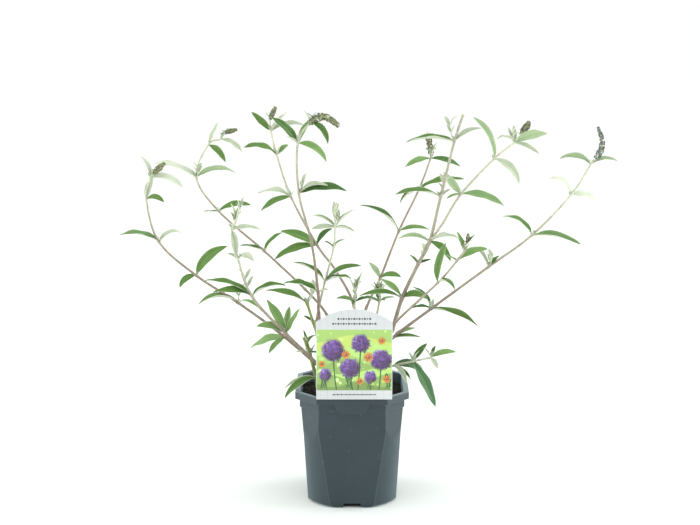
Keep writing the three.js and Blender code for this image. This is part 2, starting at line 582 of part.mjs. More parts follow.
// The mass: the leafy upper length of a shoot with its leaf pairs, tufts, sprouts and bud spike.
function makeMass(stem, from, index) {
  const { shoot } = stem;
  const random = randomFrom(1000 + index);
  const spikeStart = stem.at(stem.joints.length - 1 - (shoot.spikeNodes ?? 1));
  const tip = stem.length;
  const radiusAt = (distance) => {
    if (!shoot.spike || distance < spikeStart) return stem.radius(distance);
    const share = (distance - spikeStart) / (tip - spikeStart);
    return (shoot.spike / 2) * Math.sin(Math.PI * THREE.MathUtils.lerp(...SPIKE_BULGE, share));
  };
  const parts = [toSolid(limb(stem, from, shoot.spike ? spikeStart + 1 : tip, radiusAt))];
  if (shoot.spike) parts.push(toSolid(limb(stem, spikeStart, tip, radiusAt, STEM_SIDES, SPIKE_STEP)));
  const blades = [];
  shoot.nodes.forEach(([, , heading, ...leaves], i) => {
    const base = stem.joints[i + 1];
    const swing = THREE.MathUtils.lerp(SWING[0], SWING[1], random()) * (i % 2 === 0 ? -1 : 1);
    const pairs = leaves.map(([toward, rise, length, bend, facing]) => [toward + swing, rise,
      length / Math.sqrt(Math.cos(rad(swing))), bend ?? DROOP_BASE + DROOP_SHARE * rise, facing]);
    if (leaves.length > 0 && random() < TUFT_CHANCE) {
      const turn = heading + 60 * random();
      pairs.push([turn, 66, 12 + 8 * random(), 10], [turn + 180, 66, 12 + 8 * random(), 10]);
    }
    for (const [toward, rise, length, bend, facing] of pairs) {
      const drawn = THREE.MathUtils.lerp(FACING[0], FACING[1], random());
      const blade = leaf(base, toward, rise, length, bend, facing ?? drawn);
      if (isClear(shoot.name, blade)) blades.push(blade);
    }
  });
  for (const [node, length] of shoot.sprout) {
    parts.push(...sprout(shoot.name, stem.joints[node + 1], 360 * random(), length, random));
  }
  for (const blade of blades) {
    blade.spine.forEach((point, i) => take(shoot.name, point, blade.halves[i]));
    parts.push(toSolid(blade.geometry));
  }
  return toGeometry(parts.reduce((whole, piece) => whole.add(piece)));
}

SHOOTS.forEach((shoot, index) => {
  const stem = stems[shoot.name];
  const end = stem.at(shoot.bare + 1) - BARE_END;
  addMesh(`${shoot.name}_bough`, makeBough(stem, end), bark);
  addMesh(`${shoot.name}_leaves`, makeMass(stem, end + GAP, index), foliage);
});

export default group;
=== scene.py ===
"""A young butterfly bush in its nursery pot: stems, leaves, flower buds, compost, pot and plant card.

Sizes in the tables are millimetres and degrees, +Z up, and the front is -Y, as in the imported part.
"""

import math

import bmesh
import bpy
import numpy as np
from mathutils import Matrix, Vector, noise


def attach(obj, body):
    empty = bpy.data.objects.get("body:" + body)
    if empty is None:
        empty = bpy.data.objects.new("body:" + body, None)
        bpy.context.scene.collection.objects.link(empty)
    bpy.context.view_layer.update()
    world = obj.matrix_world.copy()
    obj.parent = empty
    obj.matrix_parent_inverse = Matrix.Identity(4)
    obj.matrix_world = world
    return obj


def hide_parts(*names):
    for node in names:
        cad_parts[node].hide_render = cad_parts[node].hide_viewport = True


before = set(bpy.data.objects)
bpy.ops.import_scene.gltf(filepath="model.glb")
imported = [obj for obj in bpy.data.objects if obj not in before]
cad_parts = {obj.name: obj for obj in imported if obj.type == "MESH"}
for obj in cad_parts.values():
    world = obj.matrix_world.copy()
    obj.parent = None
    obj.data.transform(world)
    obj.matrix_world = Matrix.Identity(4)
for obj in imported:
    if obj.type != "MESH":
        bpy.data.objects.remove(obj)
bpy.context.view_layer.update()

bl_info = {
    "name": "Potted Butterfly Bush",
    "version": (1, 0, 0),
    "blender": (4, 5, 0),
    "location": "3D View > Sidebar > Butterfly Bush",
    "description": "Grows a young butterfly bush in its nursery pot, with compost and a plant card",
    "category": "Add Mesh",
}

MM = 0.001

# ---- pot, compost, card and foot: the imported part's own sizes ----
POT_HEIGHT = 171.0
RIM_HALF = 82.5
RIM_DIAGONAL = 94.6
RIM_LEDGE = 6.4
RIM_THICK = 1.8
RIM_SKIRT = 10.0
BAND_HEIGHT = 12.6
WALL = 1.5
FLOOR = 2.0
# body sections from the underside up: height, centre to flat, corner radius, centre to chamfer
BODY = [(0, 64.2, 67.5, 85), (1, 64.9, 70.2, 85), (3, 65.4, 72.8, 85), (60, 68.4, 79.6, 85.2),
        (104, 70.6, 84.8, 84.9), (112, 71.2, 86, 85.2), (120, 71.8, 87, 85.5), (148.4, 74.2, 90.6, 86.6)]
SHOULDER = BODY[4]
FOOT_INSIDE = (2, 65, 71.3, 85)
NOTCH_WIDTH, NOTCH_TOP, NOTCH_HEIGHT, NOTCH_INNER = 28.0, 24.0, 6.5, 58.0
POCKET_TOP, POCKET_BOTTOM, POCKET_HEIGHT, POCKET_FRONT = 52.0, 34.0, 13.0, 81.9
SLOT_WIDTH, SLOT_FOOT, SLOT_DEPTH, SLOT_Y = 51.0, 29.0, 1.7, -78.9
POCKET_FLOOR, POCKET_SUNK = 2.0, 0.5
COMPOST_ROOM = 0.9
COMPOST_EDGE = 155.0
COMPOST_MIDDLE = 157.0
CARD_WIDTH, CARD_SIDE, CARD_HEIGHT, CARD_THICK = 108.0, 112.5, 131.5, 1.0
CARD_ASIDE, CARD_HANG, CARD_CLEAR, CARD_LIFT = 3.0, 1.5, 0.4, 0.3
CARD_Y = -(RIM_HALF + CARD_CLEAR + CARD_THICK / 2)
TONGUE_WIDTH, TONGUE_DEPTH, TONGUE_TAPER = 46.0, 17.0, 7.0
ARCH_RISE = CARD_HEIGHT - CARD_SIDE
ARCH_RADIUS = ((CARD_WIDTH / 2) ** 2 + ARCH_RISE**2) / (2 * ARCH_RISE)
FOOT_PROFILE = [(21.5, 157.3), (21.0, 163.0), (18.0, 168.5), (11.0, 171.0)]
SHOOT_START = 164.0

# ---- the growing rule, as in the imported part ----
LEAF_WIDTH = 0.25
MIDDLE_LEAF = 50.0
SLIMMING = 0.35
STOUTEST = 1.2
SMALL_LEAF = 30.0
DROOP_BASE = 60.0
DROOP_SHARE = 0.5
FACING = (0.0, 42.0)
SWING = (6.0, 28.0)
TUFT_CHANCE = 0.3
LEAF_CLEAR = 0.8
SPINE_STEPS = 20
LONG_BLADE = [(0, 0.14), (0.1, 0.18), (0.4, 1), (0.75, 0.6)]
SHORT_BLADE = [(0, 0.25), (0.42, 1)]
SPIKE_BULGE = (0.2, 0.82)

# Each shoot is a chain of internodes from its foot. A row is
#   (internode length, lean, heading, leaf tones, leaves...)
# and a leaf is (heading, rise, length, bend, facing), where the last one or two may be left out.
# thick: stem diameter at the foot and the tip; spike: diameter of the bud spike on the last internode,
# or on the last spike_nodes of them; sprout: (node, length) of short side twigs.
# Leaf tones: g green, l light, d dark, b blue green, m middle, p pale, w downy.
# Bark tones: one for the foot and one for each node, from 0, brown, to 7, pale; 8 is green bark.
SHOOTS = [
    dict(name="far_left", foot=(-15, 0), thick=(4.7, 2.8), spike=9.5,
         sprout=[(1, 16)], bark="001125777", nodes=[
        (115, 47, 186, "gg", (175, -4, 64, 36, 50), (252, -10, 38, 40)),
        (87, 52, 185, "ll", (185, 37, 62), (325, 25, 47, 79)),
        (72, 55, 186, "gg", (15, 71, 66, 54, 74), (215, 6, 32, 80, 70)),
        (72, 46, 187, "lp", (172, 36, 58, 50), (20, 49, 46, 82, 30)),
        (64, 15, 200, "wg", (35, 85, 36, 30, 60), (340, 40, 34, 90, 50)),
        (33, 13, 338, "ww", (350, 14, 51, 63, 40), (150, 80, 34, 30)),
        (8, 38, 350, ""), (22, 48, 353, "")]),
    dict(name="left_inner", foot=(-12, -9), thick=(5, 3.1), spike=0, sprout=[(1, 26)], bark="0136777", nodes=[
        (135, 45, 210, "gggg", (168, 64, 57, 12, 48), (95, 48, 48, 10), (345, 66, 46, 12, 66),
         (200, 48, 47, 66, 54)),
        (83, 42, 215, "ggg", (180, 41, 72, 43, 14), (195, 28, 60, 33, 24), (350, 44, 53, 53, 20)),
        (65, 28, 238, "pp", (330, 41, 40, 73, 50), (190, 40, 18, 30)),
        (49, 26, 253, "pp", (268, -26, 51, 30), (8, 12, 44, 34, 30)),
        (15, 36, 315, "pp", (200, 80, 26, 10), (60, 70, 28, 20)),
        (24, 30, 303, "pp", (170, 75, 14, 0), (20, 65, 16, 0))]),
    dict(name="left_arch", foot=(-6, 9), thick=(4.2, 2.7), spike=8,
         sprout=[(5, 12)], bark="00011257777", nodes=[
        (62, 17, 127, ""), (50, 30, 148, ""), (50, 45, 157, ""),
        (86, 51, 159, "gd", (350, 61, 41, 36), (170, 25, 38, 26)),
        (94, 53, 159, "gg", (190, 0, 26, 0), (10, 36, 52, 51)),
        (64, 39, 152, "mw", (10, 34, 68, 66, 34), (190, 37, 72, 36, 34)),
        (54, 26, 42, "gp", (335, -10, 46, 44, 46), (15, 60, 40, -10, 30)),
        (21, 67, 19, "pd", (340, -7, 40, 51, 34), (30, 42, 26, 10)),
        (12, 38, 12, ""), (19, 75, 8, "")]),
    dict(name="tall_left", foot=(2, 13), thick=(4.6, 2.7), spike=9, sprout=[], bark="0001135677", nodes=[
        (52, 21, 91, ""), (66, 24, 87, ""), (63, 37, 136, ""),
        (51, 45, 144, "dgg", (0, 72, 36, 63), (172, 6, 70, 40, 40), (170, 38, 62, 26, 60)),
        (90, 39, 137, "pg", (174, 22, 66, 46, 20), (202, -6, 52, 40, 40)),
        (73, 32, 127, "gg", (186, 48, 58, 70, 40), (340, 66, 26, 50, 70)),
        (41, 29, 118, "gpd", (170, 40, 46, 0, 54), (10, 35, 56, 50), (350, 52, 42, 10)),
        (19, 14, 110, ""), (21, 25, 15, "")]),
    dict(name="tall_left_front", foot=(-4, -12), thick=(4.5, 2.8), spike=10, spike_nodes=2,
         sprout=[(4, 14)], bark="0000145666", nodes=[
        (75, 31, 208, ""), (63, 19, 242, ""),
        (33, 18, 267, "gg", (185, 38, 53, 48), (340, 40, 20, 40)),
        (81, 20, 253, ""),
        (80, 23, 239, "dp", (355, 26, 74, 38, 48), (350, 42, 50, 50, 30)),
        (76, 21, 270, "dggd", (174, 60, 50, 30, 64), (350, -2, 48, 66, 50), (25, 50, 38, 0),
         (195, 30, 20, 0)),
        (36, 38, 323, "g", (340, -2, 42, 84, 40)),
        (22, 67, 335, ""), (23, 117, 333, "")]),
    dict(name="centre_thin", foot=(-7, -3), thick=(4.1, 2.7), spike=0,
         sprout=[(4, 14)], bark="11256777", nodes=[
        (76, 34, 208, ""), (46, 18, 241, ""),
        (68, 20, 303, "ggg", (0, 47, 62, 42), (342, 32, 51, 40), (175, 50, 56, 48)),
        (56, 22, 307, "gg", (10, 60, 22, 60), (190, 50, 18, 30)),
        (33, 19, 283, "mpmp", (175, 45, 37, 40), (200, 9, 34, 26), (10, 54, 38, 24), (345, 5, 30, 30)),
        (12, 19, 271, "pp", (90, 76, 26, 10), (272, 76, 26, 10)),
        (13, 19, 271, "pp", (170, 76, 13, 0), (10, 76, 13, 0))]),
    dict(name="centre_right", foot=(9, 8), thick=(4.5, 2.7), spike=9,
         sprout=[(5, 12)], bark="000011355", nodes=[
        (70, 30, 92, ""), (53, 34, 62, ""),
        (54, 40, 51, "mg", (165, 58, 31, 32, 50), (350, 34, 40, 50, 52)),
        (84, 38, 55, "dg", (176, 61, 76, 57), (354, 18, 50, 36, 34)),
        (80, 41, 51, "dg", (205, -15, 39, 40), (8, 32, 74, 38)),
        (57, 37, 56, "gdp", (186, 4, 48, 34, 46), (350, 0, 52, 32, 46), (90, 84, 18, 0)),
        (10, 31, 77, "dd", (180, 40, 12, 0), (0, 40, 12, 0)),
        (36, 25, 112, "")]),
    dict(name="right_cut", foot=(10, -3), thick=(6.9, 3.3), spike=0,
         sprout=[(3, 20), (5, 18), (6, 24)], bark="001123344", nodes=[
        (57, 36, 338, ""), (52, 23, 328, ""),
        (53, 20, 320, "ggg", (205, 53, 45, 26, 50), (185, 24, 66, 44, 16), (330, 34, 46, 62, 54)),
        (58, 26, 329, "gd", (180, 46, 20, 0), (340, 20, 20, 0)),
        (38, 28, 329, "mgp", (190, 29, 47, 58, 30), (345, 0, 44, 70, 50), (344, 34, 50, 44)),
        (70, 18, 309, "gp", (180, 26, 68, 44, 14), (350, 45, 18, 20)),
        (83, 19, 307, "gp", (180, 16, 68, 36, 10), (0, 48, 42, 46, 40)),
        (40, 22, 314, "")]),
    dict(name="right_tall", fork=("right_cut", 4), thick=(4, 3), spike=13,
         sprout=[(3, 14)], bark="3445777", nodes=[
        (37, 52, 47, ""),
        (60, 52, 53, "lmg", (354, 2, 70, 40, 44), (150, 52, 40, 0, 76), (195, -5, 28, 10)),
        (90, 60, 47, "mp", (175, 86, 72, 50, 36), (350, -10, 56, 70, 46)),
        (51, 66, 44, "mppp", (0, 30, 56, 32, 58), (186, 52, 35, 84), (338, -20, 40, 10), (90, 82, 26, 0)),
        (22, 58, 50, ""), (24, 44, 40, "")]),
    dict(name="right_thin", foot=(5, -13), thick=(4.3, 2.7), spike=6, sprout=[], bark="00123356", nodes=[
        (91, 32, 306, ""), (58, 44, 316, ""),
        (101, 49, 315, "gg", (40, 86, 56, 20), (320, 34, 39, 82)),
        (52, 46, 309, "gg", (0, 36, 48, 44, 44), (170, 30, 16, 0)),
        (22, 44, 305, "gg", (180, 68, 27, 0), (0, 58, 27, 0)),
        (9, 25, 330, ""), (15, 6, 300, "")]),
    dict(name="far_right", foot=(17, 3), thick=(4.8, 2.9), spike=9, spike_nodes=2,
         sprout=[(3, 12)], bark="00012477777", nodes=[
        (43, 20, 9, ""),
        (43, 41, 5, "gg", (5, 30, 42, 30), (335, 12, 42, 22)),
        (73, 53, 5, "gdd", (354, -2, 76, 28, 26), (195, 20, 33, 40), (160, 65, 46, 49)),
        (104, 54, 5, "pg", (110, 58, 41, 33), (0, 50, 24, 20)),
        (79, 54, 5, "ll", (178, 60, 54, 66, 24), (354, 8, 74, 30, 26)),
        (82, 44, 6, "ww", (186, 74, 50, 76, 50), (0, 14, 48, 60, 44)),
        (53, 33, 8, "mm", (180, 43, 50, 66), (0, 42, 42, 71)),
        (12, 47, 6, ""), (24, 18, 10, ""), (25, 16, 172, "")]),
    dict(name="low_right", foot=(15, -9), thick=(4.2, 2.9), spike=0, sprout=[], bark="23456", nodes=[
        (39, 36, 326, ""),
        (30, 70, 335, "bdp", (335, 28, 50, 92, 55), (318, -18, 33, 33), (280, -2, 42, 46)),
        (33, 72, 334, "db", (20, 64, 34, 30, 66), (325, -44, 74, 20)),
        (30, 72, 333, "gpgd", (0, 30, 39, 40), (280, -20, 24, 20), (200, 60, 22, 20), (40, 60, 20, 20))]),
    dict(name="cut_left", foot=(-14, 8), thick=(4.6, 4), spike=0, sprout=[(3, 26)], bark="888888", nodes=[
        (26, 45, 178, ""), (62, 18, 175, ""),
        (20, 18, 175, "dd", (170, 30, 18, 0), (350, 30, 14, 0)),
        (29, 17, 174, "g", (182, 38, 69, 32)),
        (3, 17, 174, "")]),
    dict(name="cut_stub", foot=(-48, -18, 156.9), thick=(5.6, 5), spike=0, sprout=[], bark="888888", nodes=[
        (16, 12, 212, ""),
        (12, 12, 212, "gpp", (203, 7, 62, 58), (160, -2, 53, 40), (186, 2, 32, 10)),
        (40, 15, 210, "dpd", (322, 24, 22, 30), (182, 10, 22, 20), (330, 55, 20, 10)),
        (14, 18, 205, "gg", (120, 70, 22, 0), (30, 58, 24, 70)),
        (12, 20, 203, "")]),
    dict(name="short_centre", foot=(1, -5), thick=(4.4, 3.2), spike=0, sprout=[], bark="13577", nodes=[
        (72, 6, 262, ""),
        (62, 7, 298, "gddg", (182, 30, 30, 30), (350, 25, 26, 30), (60, 40, 20, 20), (240, 20, 22, 40)),
        (12, 9, 315, "gppd", (0, 72, 38, 0), (200, 70, 26, 0), (100, 60, 24, 0), (300, 55, 22, 20)),
        (10, 9, 315, "pp", (170, 76, 16, 0), (20, 76, 16, 0))]),
    dict(name="short_right", foot=(4, 4), thick=(4.4, 3.2), spike=0, sprout=[], bark="13577", nodes=[
        (70, 20, 14, ""),
        (62, 14, 28, "dgdd", (192, 24, 32, 10), (340, 30, 24, 30), (260, 30, 26, 30), (80, 40, 20, 20)),
        (11, 8, 62, "ggpd", (170, 60, 22, 0), (215, 50, 24, 0), (10, 60, 20, 0), (300, 50, 20, 30)),
        (9, 8, 62, "pp", (180, 74, 16, 0), (10, 74, 14, 0))]),
]
CUT_SHOOTS = ("right_cut", "cut_left", "cut_stub")


def srgb(red, green, blue, alpha=True):
    """Colour of 0-255 screen values as Blender's linear numbers."""
    linear = []
    for value in (red, green, blue):
        share = value / 255
        linear.append(share / 12.92 if share <= 0.04045 else ((share + 0.055) / 1.055) ** 2.4)
    return (*linear, 1.0) if alpha else tuple(linear)


def length(name, description, default):
    """A size property; default is in millimetres."""
    return bpy.props.FloatProperty(name=name, description=description, default=default * MM,
                                   unit="LENGTH", subtype="DISTANCE", precision=5)


def whole_number(name, description, default, least=0):
    """A whole-number property."""
    return bpy.props.IntProperty(name=name, description=description, default=default, min=least)


def fraction(name, description, default):
    """A property for a share of something."""
    return bpy.props.FloatProperty(name=name, description=description, default=default, min=0.0,
                                   subtype="FACTOR")


def watts(name, description, default):
    """A lamp's power property, in watts."""
    return bpy.props.FloatProperty(name=name, description=description, default=default, unit="POWER")


def colour(name, description, red, green, blue):
    """A colour property from 0-255 screen values."""
    return bpy.props.FloatVectorProperty(name=name, description=description, subtype="COLOR", size=3,
                                         min=0.0, max=1.0, default=srgb(red, green, blue, alpha=False))


# ---- what a user would change ----
class BushPotSettings(bpy.types.PropertyGroup):
    edge: length("Edge rounding", "Radius of the pot's moulded edges", 0.8)
    plastic: colour("Plastic", "Colour of the pot", 26, 43, 51)
    dust: colour("Dust", "Colour of the dust film on the pot", 96, 112, 116)
    crumb: colour("Crumb", "Colour of the crumbs that stick to the pot", 128, 112, 84)
    crumbs: whole_number("Crumbs", "How many crumbs stick to the pot", 70)


class BushCompostSettings(bpy.types.PropertyGroup):
    soil: colour("Compost", "Colour of the moist compost", 15, 16, 11)
    chip: colour("Chip", "Colour of the bark chips", 36, 37, 25)
    fibre: colour("Fibre", "Colour of the loose fibres", 132, 132, 76)
    chips: whole_number("Chips", "How many bark chips lie on top", 420)
    fibres: whole_number("Fibres", "How many fibres lie on top", 260)


class BushCardSettings(bpy.types.PropertyGroup):
    board: colour("Board", "Colour of the card", 199, 204, 205)
    meadow: colour("Meadow", "Main green of the picture", 160, 196, 108)
    petal: colour("Petals", "Colour of the round flower heads", 98, 74, 148)
    heart: colour("Hearts", "Colour of the small daisies", 226, 132, 52)


class BushStemSettings(bpy.types.PropertyGroup):
    ring_step: length("Ring step", "Distance between the rings of a stem's mesh", 1.6)
    sides: whole_number("Sides", "Sides of a stem's mesh", 14, 6)
    swelling: fraction("Node swelling", "How much thicker a node is", 0.34)
    relief: length("Bark relief", "Depth of the ridges in the bark", 0.16)
    woody: colour("Woody bark", "Bark of the lower stems", 134, 120, 107)
    young: colour("Young bark", "Felted bark of the tips", 188, 195, 170)
    green: colour("Green bark", "Bark of the cut suckers", 128, 140, 84)


class BushLeafSettings(bpy.types.PropertyGroup):
    tooth: fraction("Teeth", "Depth of the margin's teeth as a share of the width", 0.09)
    quilting: length("Quilting", "How far the blade puffs up between its veins", 0.42)
    thickness: length("Thickness", "Thickness of a blade", 0.34)
    green: colour("Green", "Upper face of a grown leaf", 80, 116, 54)
    fresh: colour("Fresh green", "Upper face of a leaf in its first weeks", 104, 138, 80)
    light: colour("Light green", "Upper face of a thin leaf at the outside of the bush", 102, 135, 84)
    dark: colour("Dark green", "Upper face of a shaded leaf", 60, 98, 44)
    blue: colour("Blue green", "Upper face of an older leaf", 70, 108, 74)
    middle: colour("Middle green", "Upper face of a half-felted leaf", 144, 166, 128)
    young: colour("Young", "Felted upper face of a young leaf", 164, 177, 152)
    downy: colour("Downy", "Thickly felted upper face of the outermost leaves", 184, 194, 174)
    felt: colour("Felt", "Underside of the leaves", 178, 187, 162)
    rib: colour("Rib", "Midrib of the leaves", 118, 148, 86)


class BushBudSettings(bpy.types.PropertyGroup):
    bud: length("Bud", "Length of one closed flower bud", 2.0)
    whorl: length("Whorl step", "Distance between the whorls of a spike", 4.1)
    dark: colour("Dark buds", "Colour of the closed buds", 66, 72, 54)
    olive: colour("Olive buds", "Colour of the lighter buds", 136, 142, 84)
    grey: colour("Grey buds", "Colour of the downy buds", 110, 118, 124)
    stalk: colour("Spike stalk", "Colour of the felted stalk of a spike", 170, 182, 144)


class BushStageSettings(bpy.types.PropertyGroup):
    floor: bpy.props.FloatProperty(name="Floor", description="Half the width of the floor", default=12.0,
                                   unit="LENGTH", subtype="DISTANCE")
    world: bpy.props.FloatProperty(name="Surroundings", description="Brightness of the surroundings",
                                   default=1.03)
    side_power: watts("Side lights", "Power of the light on the left side", 50.0)
    edge_power: watts("Edge lights", "Power of each light that draws the edges", 7.0)
    top_power: watts("Top light", "Power of the top light", 12.0)


# ---- random numbers, directions and rings ----
WORD = 0xFFFFFFFF


def random_from(seed):
    """Repeatable random numbers from 0 to 1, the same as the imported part's."""
    state = seed

    def draw():
        nonlocal state
        state = (state + 0x6D2B79F5) & WORD
        mixed = ((state ^ (state >> 15)) * (1 | state)) & WORD
        mixed = ((mixed + (((mixed ^ (mixed >> 7)) * (61 | mixed)) & WORD)) ^ mixed) & WORD
        return (mixed ^ (mixed >> 14)) / 2**32

    return draw


def lerp(low, high, share):
    return low + (high - low) * share


def direction(lean, heading):
    """Unit vector that leans from upright towards a heading."""
    out = math.sin(math.radians(lean))
    turn = math.radians(heading)
    return np.array([out * math.cos(turn), out * math.sin(turn), math.cos(math.radians(lean))])


def unit(vector):
    return vector / np.linalg.norm(vector)


def turned(x, y, turn):
    """A point of the level plane turned about the pot's axis; turn is in radians."""
    return x * math.cos(turn) - y * math.sin(turn), x * math.sin(turn) + y * math.cos(turn)


def on_axis(height):
    """Point of the pot's axis."""
    return np.array([0.0, 0.0, height])


def circle(middle, side, across, radius, sides):
    """Ring of points round a place, in the plane of two vectors."""
    return [middle + (side * math.cos(angle) + across * math.sin(angle)) * radius
            for angle in np.linspace(0, 2 * math.pi, sides, endpoint=False)]


class Solid:
    """Points and faces of one piece, with a finish number for each face."""

    def __init__(self):
        self.points = []
        self.faces = []
        self.finishes = []

    def skin(self, rings, finishes, first=None, last=None):
        """Closed skin over rings of equal length. finishes is one number, or one for each row of faces
        and each column. An end is closed round the given point, or by one flat face."""
        width = len(rings[0])
        start = len(self.points)
        self.points.extend(tuple(point) for ring in rings for point in ring)
        if isinstance(finishes, int):
            finishes = [[finishes] * width] * (len(rings) - 1)
        for row in range(len(rings) - 1):
            for column in range(width):
                low = start + row * width + column
                side = start + row * width + (column + 1) % width
                self.faces.append((low, side, side + width, low + width))
                self.finishes.append(finishes[row][column])
        self.close(range(start + width - 1, start - 1, -1), first, finishes[0][0])
        last_ring = start + (len(rings) - 1) * width
        self.close(range(last_ring, last_ring + width), last, finishes[len(rings) - 2][width - 1])

    def close(self, loop, point, finish):
        """Closes a loop of corners by one flat face, or by a fan round a point."""
        loop = list(loop)
        fan = [tuple(loop)]
        if point is not None:
            hub = len(self.points)
            self.points.append(tuple(point))
            fan = [(hub, a, b) for a, b in zip(loop, loop[1:] + loop[:1])]
        self.faces.extend(fan)
        self.finishes.extend([finish] * len(fan))

    def mesh(self, name, finishes):
        """The solid as a Blender mesh in metres."""
        mesh = bpy.data.meshes.new(name)
        mesh.from_pydata([[value * MM for value in point] for point in self.points], [], self.faces)
        for finish in finishes:
            mesh.materials.append(finish)
        mesh.polygons.foreach_set("material_index", self.finishes)
        return mesh

    def build(self, name, finishes, slot, replaced=(), sharp=35.0):
        """Makes the solid a piece of the bush."""
        settle(name, self.mesh(name, finishes), replaced, sharp)


def put(name, data):
    """A new object in the scene."""
    item = bpy.data.objects.new(name, data)
    bpy.context.scene.collection.objects.link(item)
    return item


def settle(name, mesh, replaced, sharp):
    """Smooths a finished mesh up to the sharp angle, in degrees, and hands it to the frame as a piece."""
    mesh.validate()
    mesh.shade_smooth()
    mesh.set_sharp_from_angle(angle=math.radians(sharp))
    piece = put(name, mesh)
    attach(piece, "root")
    if replaced:
        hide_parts(*replaced)


# ---- finishes ----
class Finish:
    """A material with the nodes that its finish needs."""

    def __init__(self, name, roughness, specular=0.5):
        self.material = bpy.data.materials.new(name)
        self.material.use_nodes = True
        self.tree = self.material.node_tree
        self.shader = self.tree.nodes["Principled BSDF"]
        self.shader.inputs["Roughness"].default_value = roughness
        self.shader.inputs["Specular IOR Level"].default_value = specular
        self.place = self.tree.nodes.new("ShaderNodeTexCoord").outputs["Object"]

    def give(self, target, value):
        """Sets an input to a value, or links it to a socket."""
        if isinstance(value, bpy.types.NodeSocket):
            self.tree.links.new(value, target)
        else:
            target.default_value = value

    def add(self, kind, **inputs):
        """A new node with some of its inputs given; from_min stands for the one called From Min."""
        node = self.tree.nodes.new(kind)
        for name, value in inputs.items():
            self.give(node.inputs[name.replace("_", " ").title()], value)
        return node

    def mapped(self, stretch, shift=(0.0, 0.0, 0.0)):
        """Place on the piece with another scale for each axis, and shifted."""
        node = self.add("ShaderNodeMapping", vector=self.place, scale=stretch, location=shift)
        return node.outputs["Vector"]

    def noise(self, scale, detail=3.0, rough=0.55, stretch=None):
        """Noise over the piece; scale is in features for each metre."""
        place = self.mapped(stretch) if stretch else self.place
        node = self.add("ShaderNodeTexNoise", vector=place, scale=scale, detail=detail, roughness=rough)
        return node.outputs["Fac"]

    def reach(self, stretch=(1.0, 1.0, 1.0), shift=(0.0, 0.0, 0.0)):
        """Distance from the piece's origin, or from another place with another scale for each axis."""
        node = self.tree.nodes.new("ShaderNodeVectorMath")
        node.operation = "LENGTH"
        self.give(node.inputs[0], self.mapped(stretch, shift))
        return node.outputs["Value"]

    def cells(self, scale):
        """Distance to the nearest of many scattered points."""
        return self.add("ShaderNodeTexVoronoi", vector=self.place, scale=scale).outputs["Distance"]

    def band(self, source, low, high, out_low=0.0, out_high=1.0):
        """Spreads the source's range low..high over another."""
        node = self.add("ShaderNodeMapRange", value=source, from_min=low, from_max=high, to_min=out_low,
                        to_max=out_high)
        node.interpolation_type = "SMOOTHSTEP"
        return node.outputs["Result"]

    def mix(self, share, below, above):
        """Colour between two colours, each a value or a socket."""
        node = self.tree.nodes.new("ShaderNodeMix")
        node.data_type = "RGBA"
        for key, value in (("Factor", share), (6, below), (7, above)):
            self.give(node.inputs[key], value)
        return node.outputs[2]

    def paint(self, colour_socket):
        self.give(self.shader.inputs["Base Color"], colour_socket)

    def gloss(self, source, low, high):
        """Roughness that follows a noise."""
        self.give(self.shader.inputs["Roughness"], self.band(source, 0.3, 0.7, low, high))

    def felt(self, weight):
        self.shader.inputs["Sheen Weight"].default_value = weight

    def bump(self, *layers):
        """Stacks bumps, each (height socket, strength, depth in mm)."""
        normal = None
        for height, strength, depth in layers:
            node = self.add("ShaderNodeBump", height=height, strength=strength, distance=depth * MM)
            if normal:
                self.give(node.inputs["Normal"], normal)
            normal = node.outputs["Normal"]
        self.give(self.shader.inputs["Normal"], normal)


def tinted(base, factor=1.0, shift=(0.0, 0.0, 0.0)):
    """A setting's colour with alpha, made lighter or darker and with a small shift of hue."""
    return tuple(min(1.0, max(0.0, value * factor + move)) for value, move in zip(base[:3], shift)) + (1.0,)


def pot_finish(name, plastic, settings):
    """Satin moulded plastic with a thin uneven film of dust and a few rubbed places."""
    finish = Finish(name, roughness=0.36)
    finish.felt(0.5)
    finish.shader.inputs["Sheen Roughness"].default_value = 0.4
    finish.shader.inputs["Sheen Tint"].default_value = (0.7, 0.97, 1.0, 1.0)
    cloud = finish.noise(14, detail=5, rough=0.62)
    film = finish.mix(finish.band(cloud, 0.35, 0.8), tinted(plastic), tinted(plastic, 1.3))
    rubbed = finish.noise(90, detail=4, rough=0.6)
    dusty = finish.mix(finish.band(rubbed, 0.6, 0.82, 0.0, 0.3), film, tinted(settings.dust))
    specks = finish.cells(150)
    finish.paint(finish.mix(finish.band(specks, 0.03, 0.06, 0.8, 0.0), dusty, tinted(settings.dust, 1.5)))
    finish.gloss(cloud, 0.3, 0.44)
    finish.bump((finish.noise(1500), 0.16, 0.04), (finish.noise(35, detail=2), 0.3, 0.3))
    return finish.material


def compost_finish(name, base, lighter, roughness=0.95, scale=420):
    """Damp crumbly matter; scale is in crumbs for each metre."""
    finish = Finish(name, roughness, specular=0.25)
    crumbs = finish.noise(scale, detail=6, rough=0.7)
    clods = finish.noise(scale / 7, detail=3)
    dry = finish.mix(finish.band(crumbs, 0.42, 0.72), base, lighter)
    finish.paint(finish.mix(finish.band(clods, 0.4, 0.66), tinted(base, 0.55), dry))
    finish.bump((crumbs, 0.8, 0.5), (finish.noise(scale * 4, detail=3), 0.5, 0.15))
    return finish.material


def litter_finishes(base, tones, roughness=0.95, scale=420):
    """A finish for each row (name, how light its hollows are, how light its crumbs are)."""
    return [compost_finish(name, tinted(base, low), tinted(base, high), roughness, scale)
            for name, low, high in tones]


def card_finish(name, base):
    """Smooth printed plastic with a trace of fibre."""
    finish = Finish(name, roughness=0.34)
    fibre = finish.noise(900, detail=3)
    finish.paint(finish.mix(finish.band(fibre, 0.3, 0.75), base, tinted(base, 0.93)))
    finish.bump((fibre, 0.08, 0.03))
    return finish.material


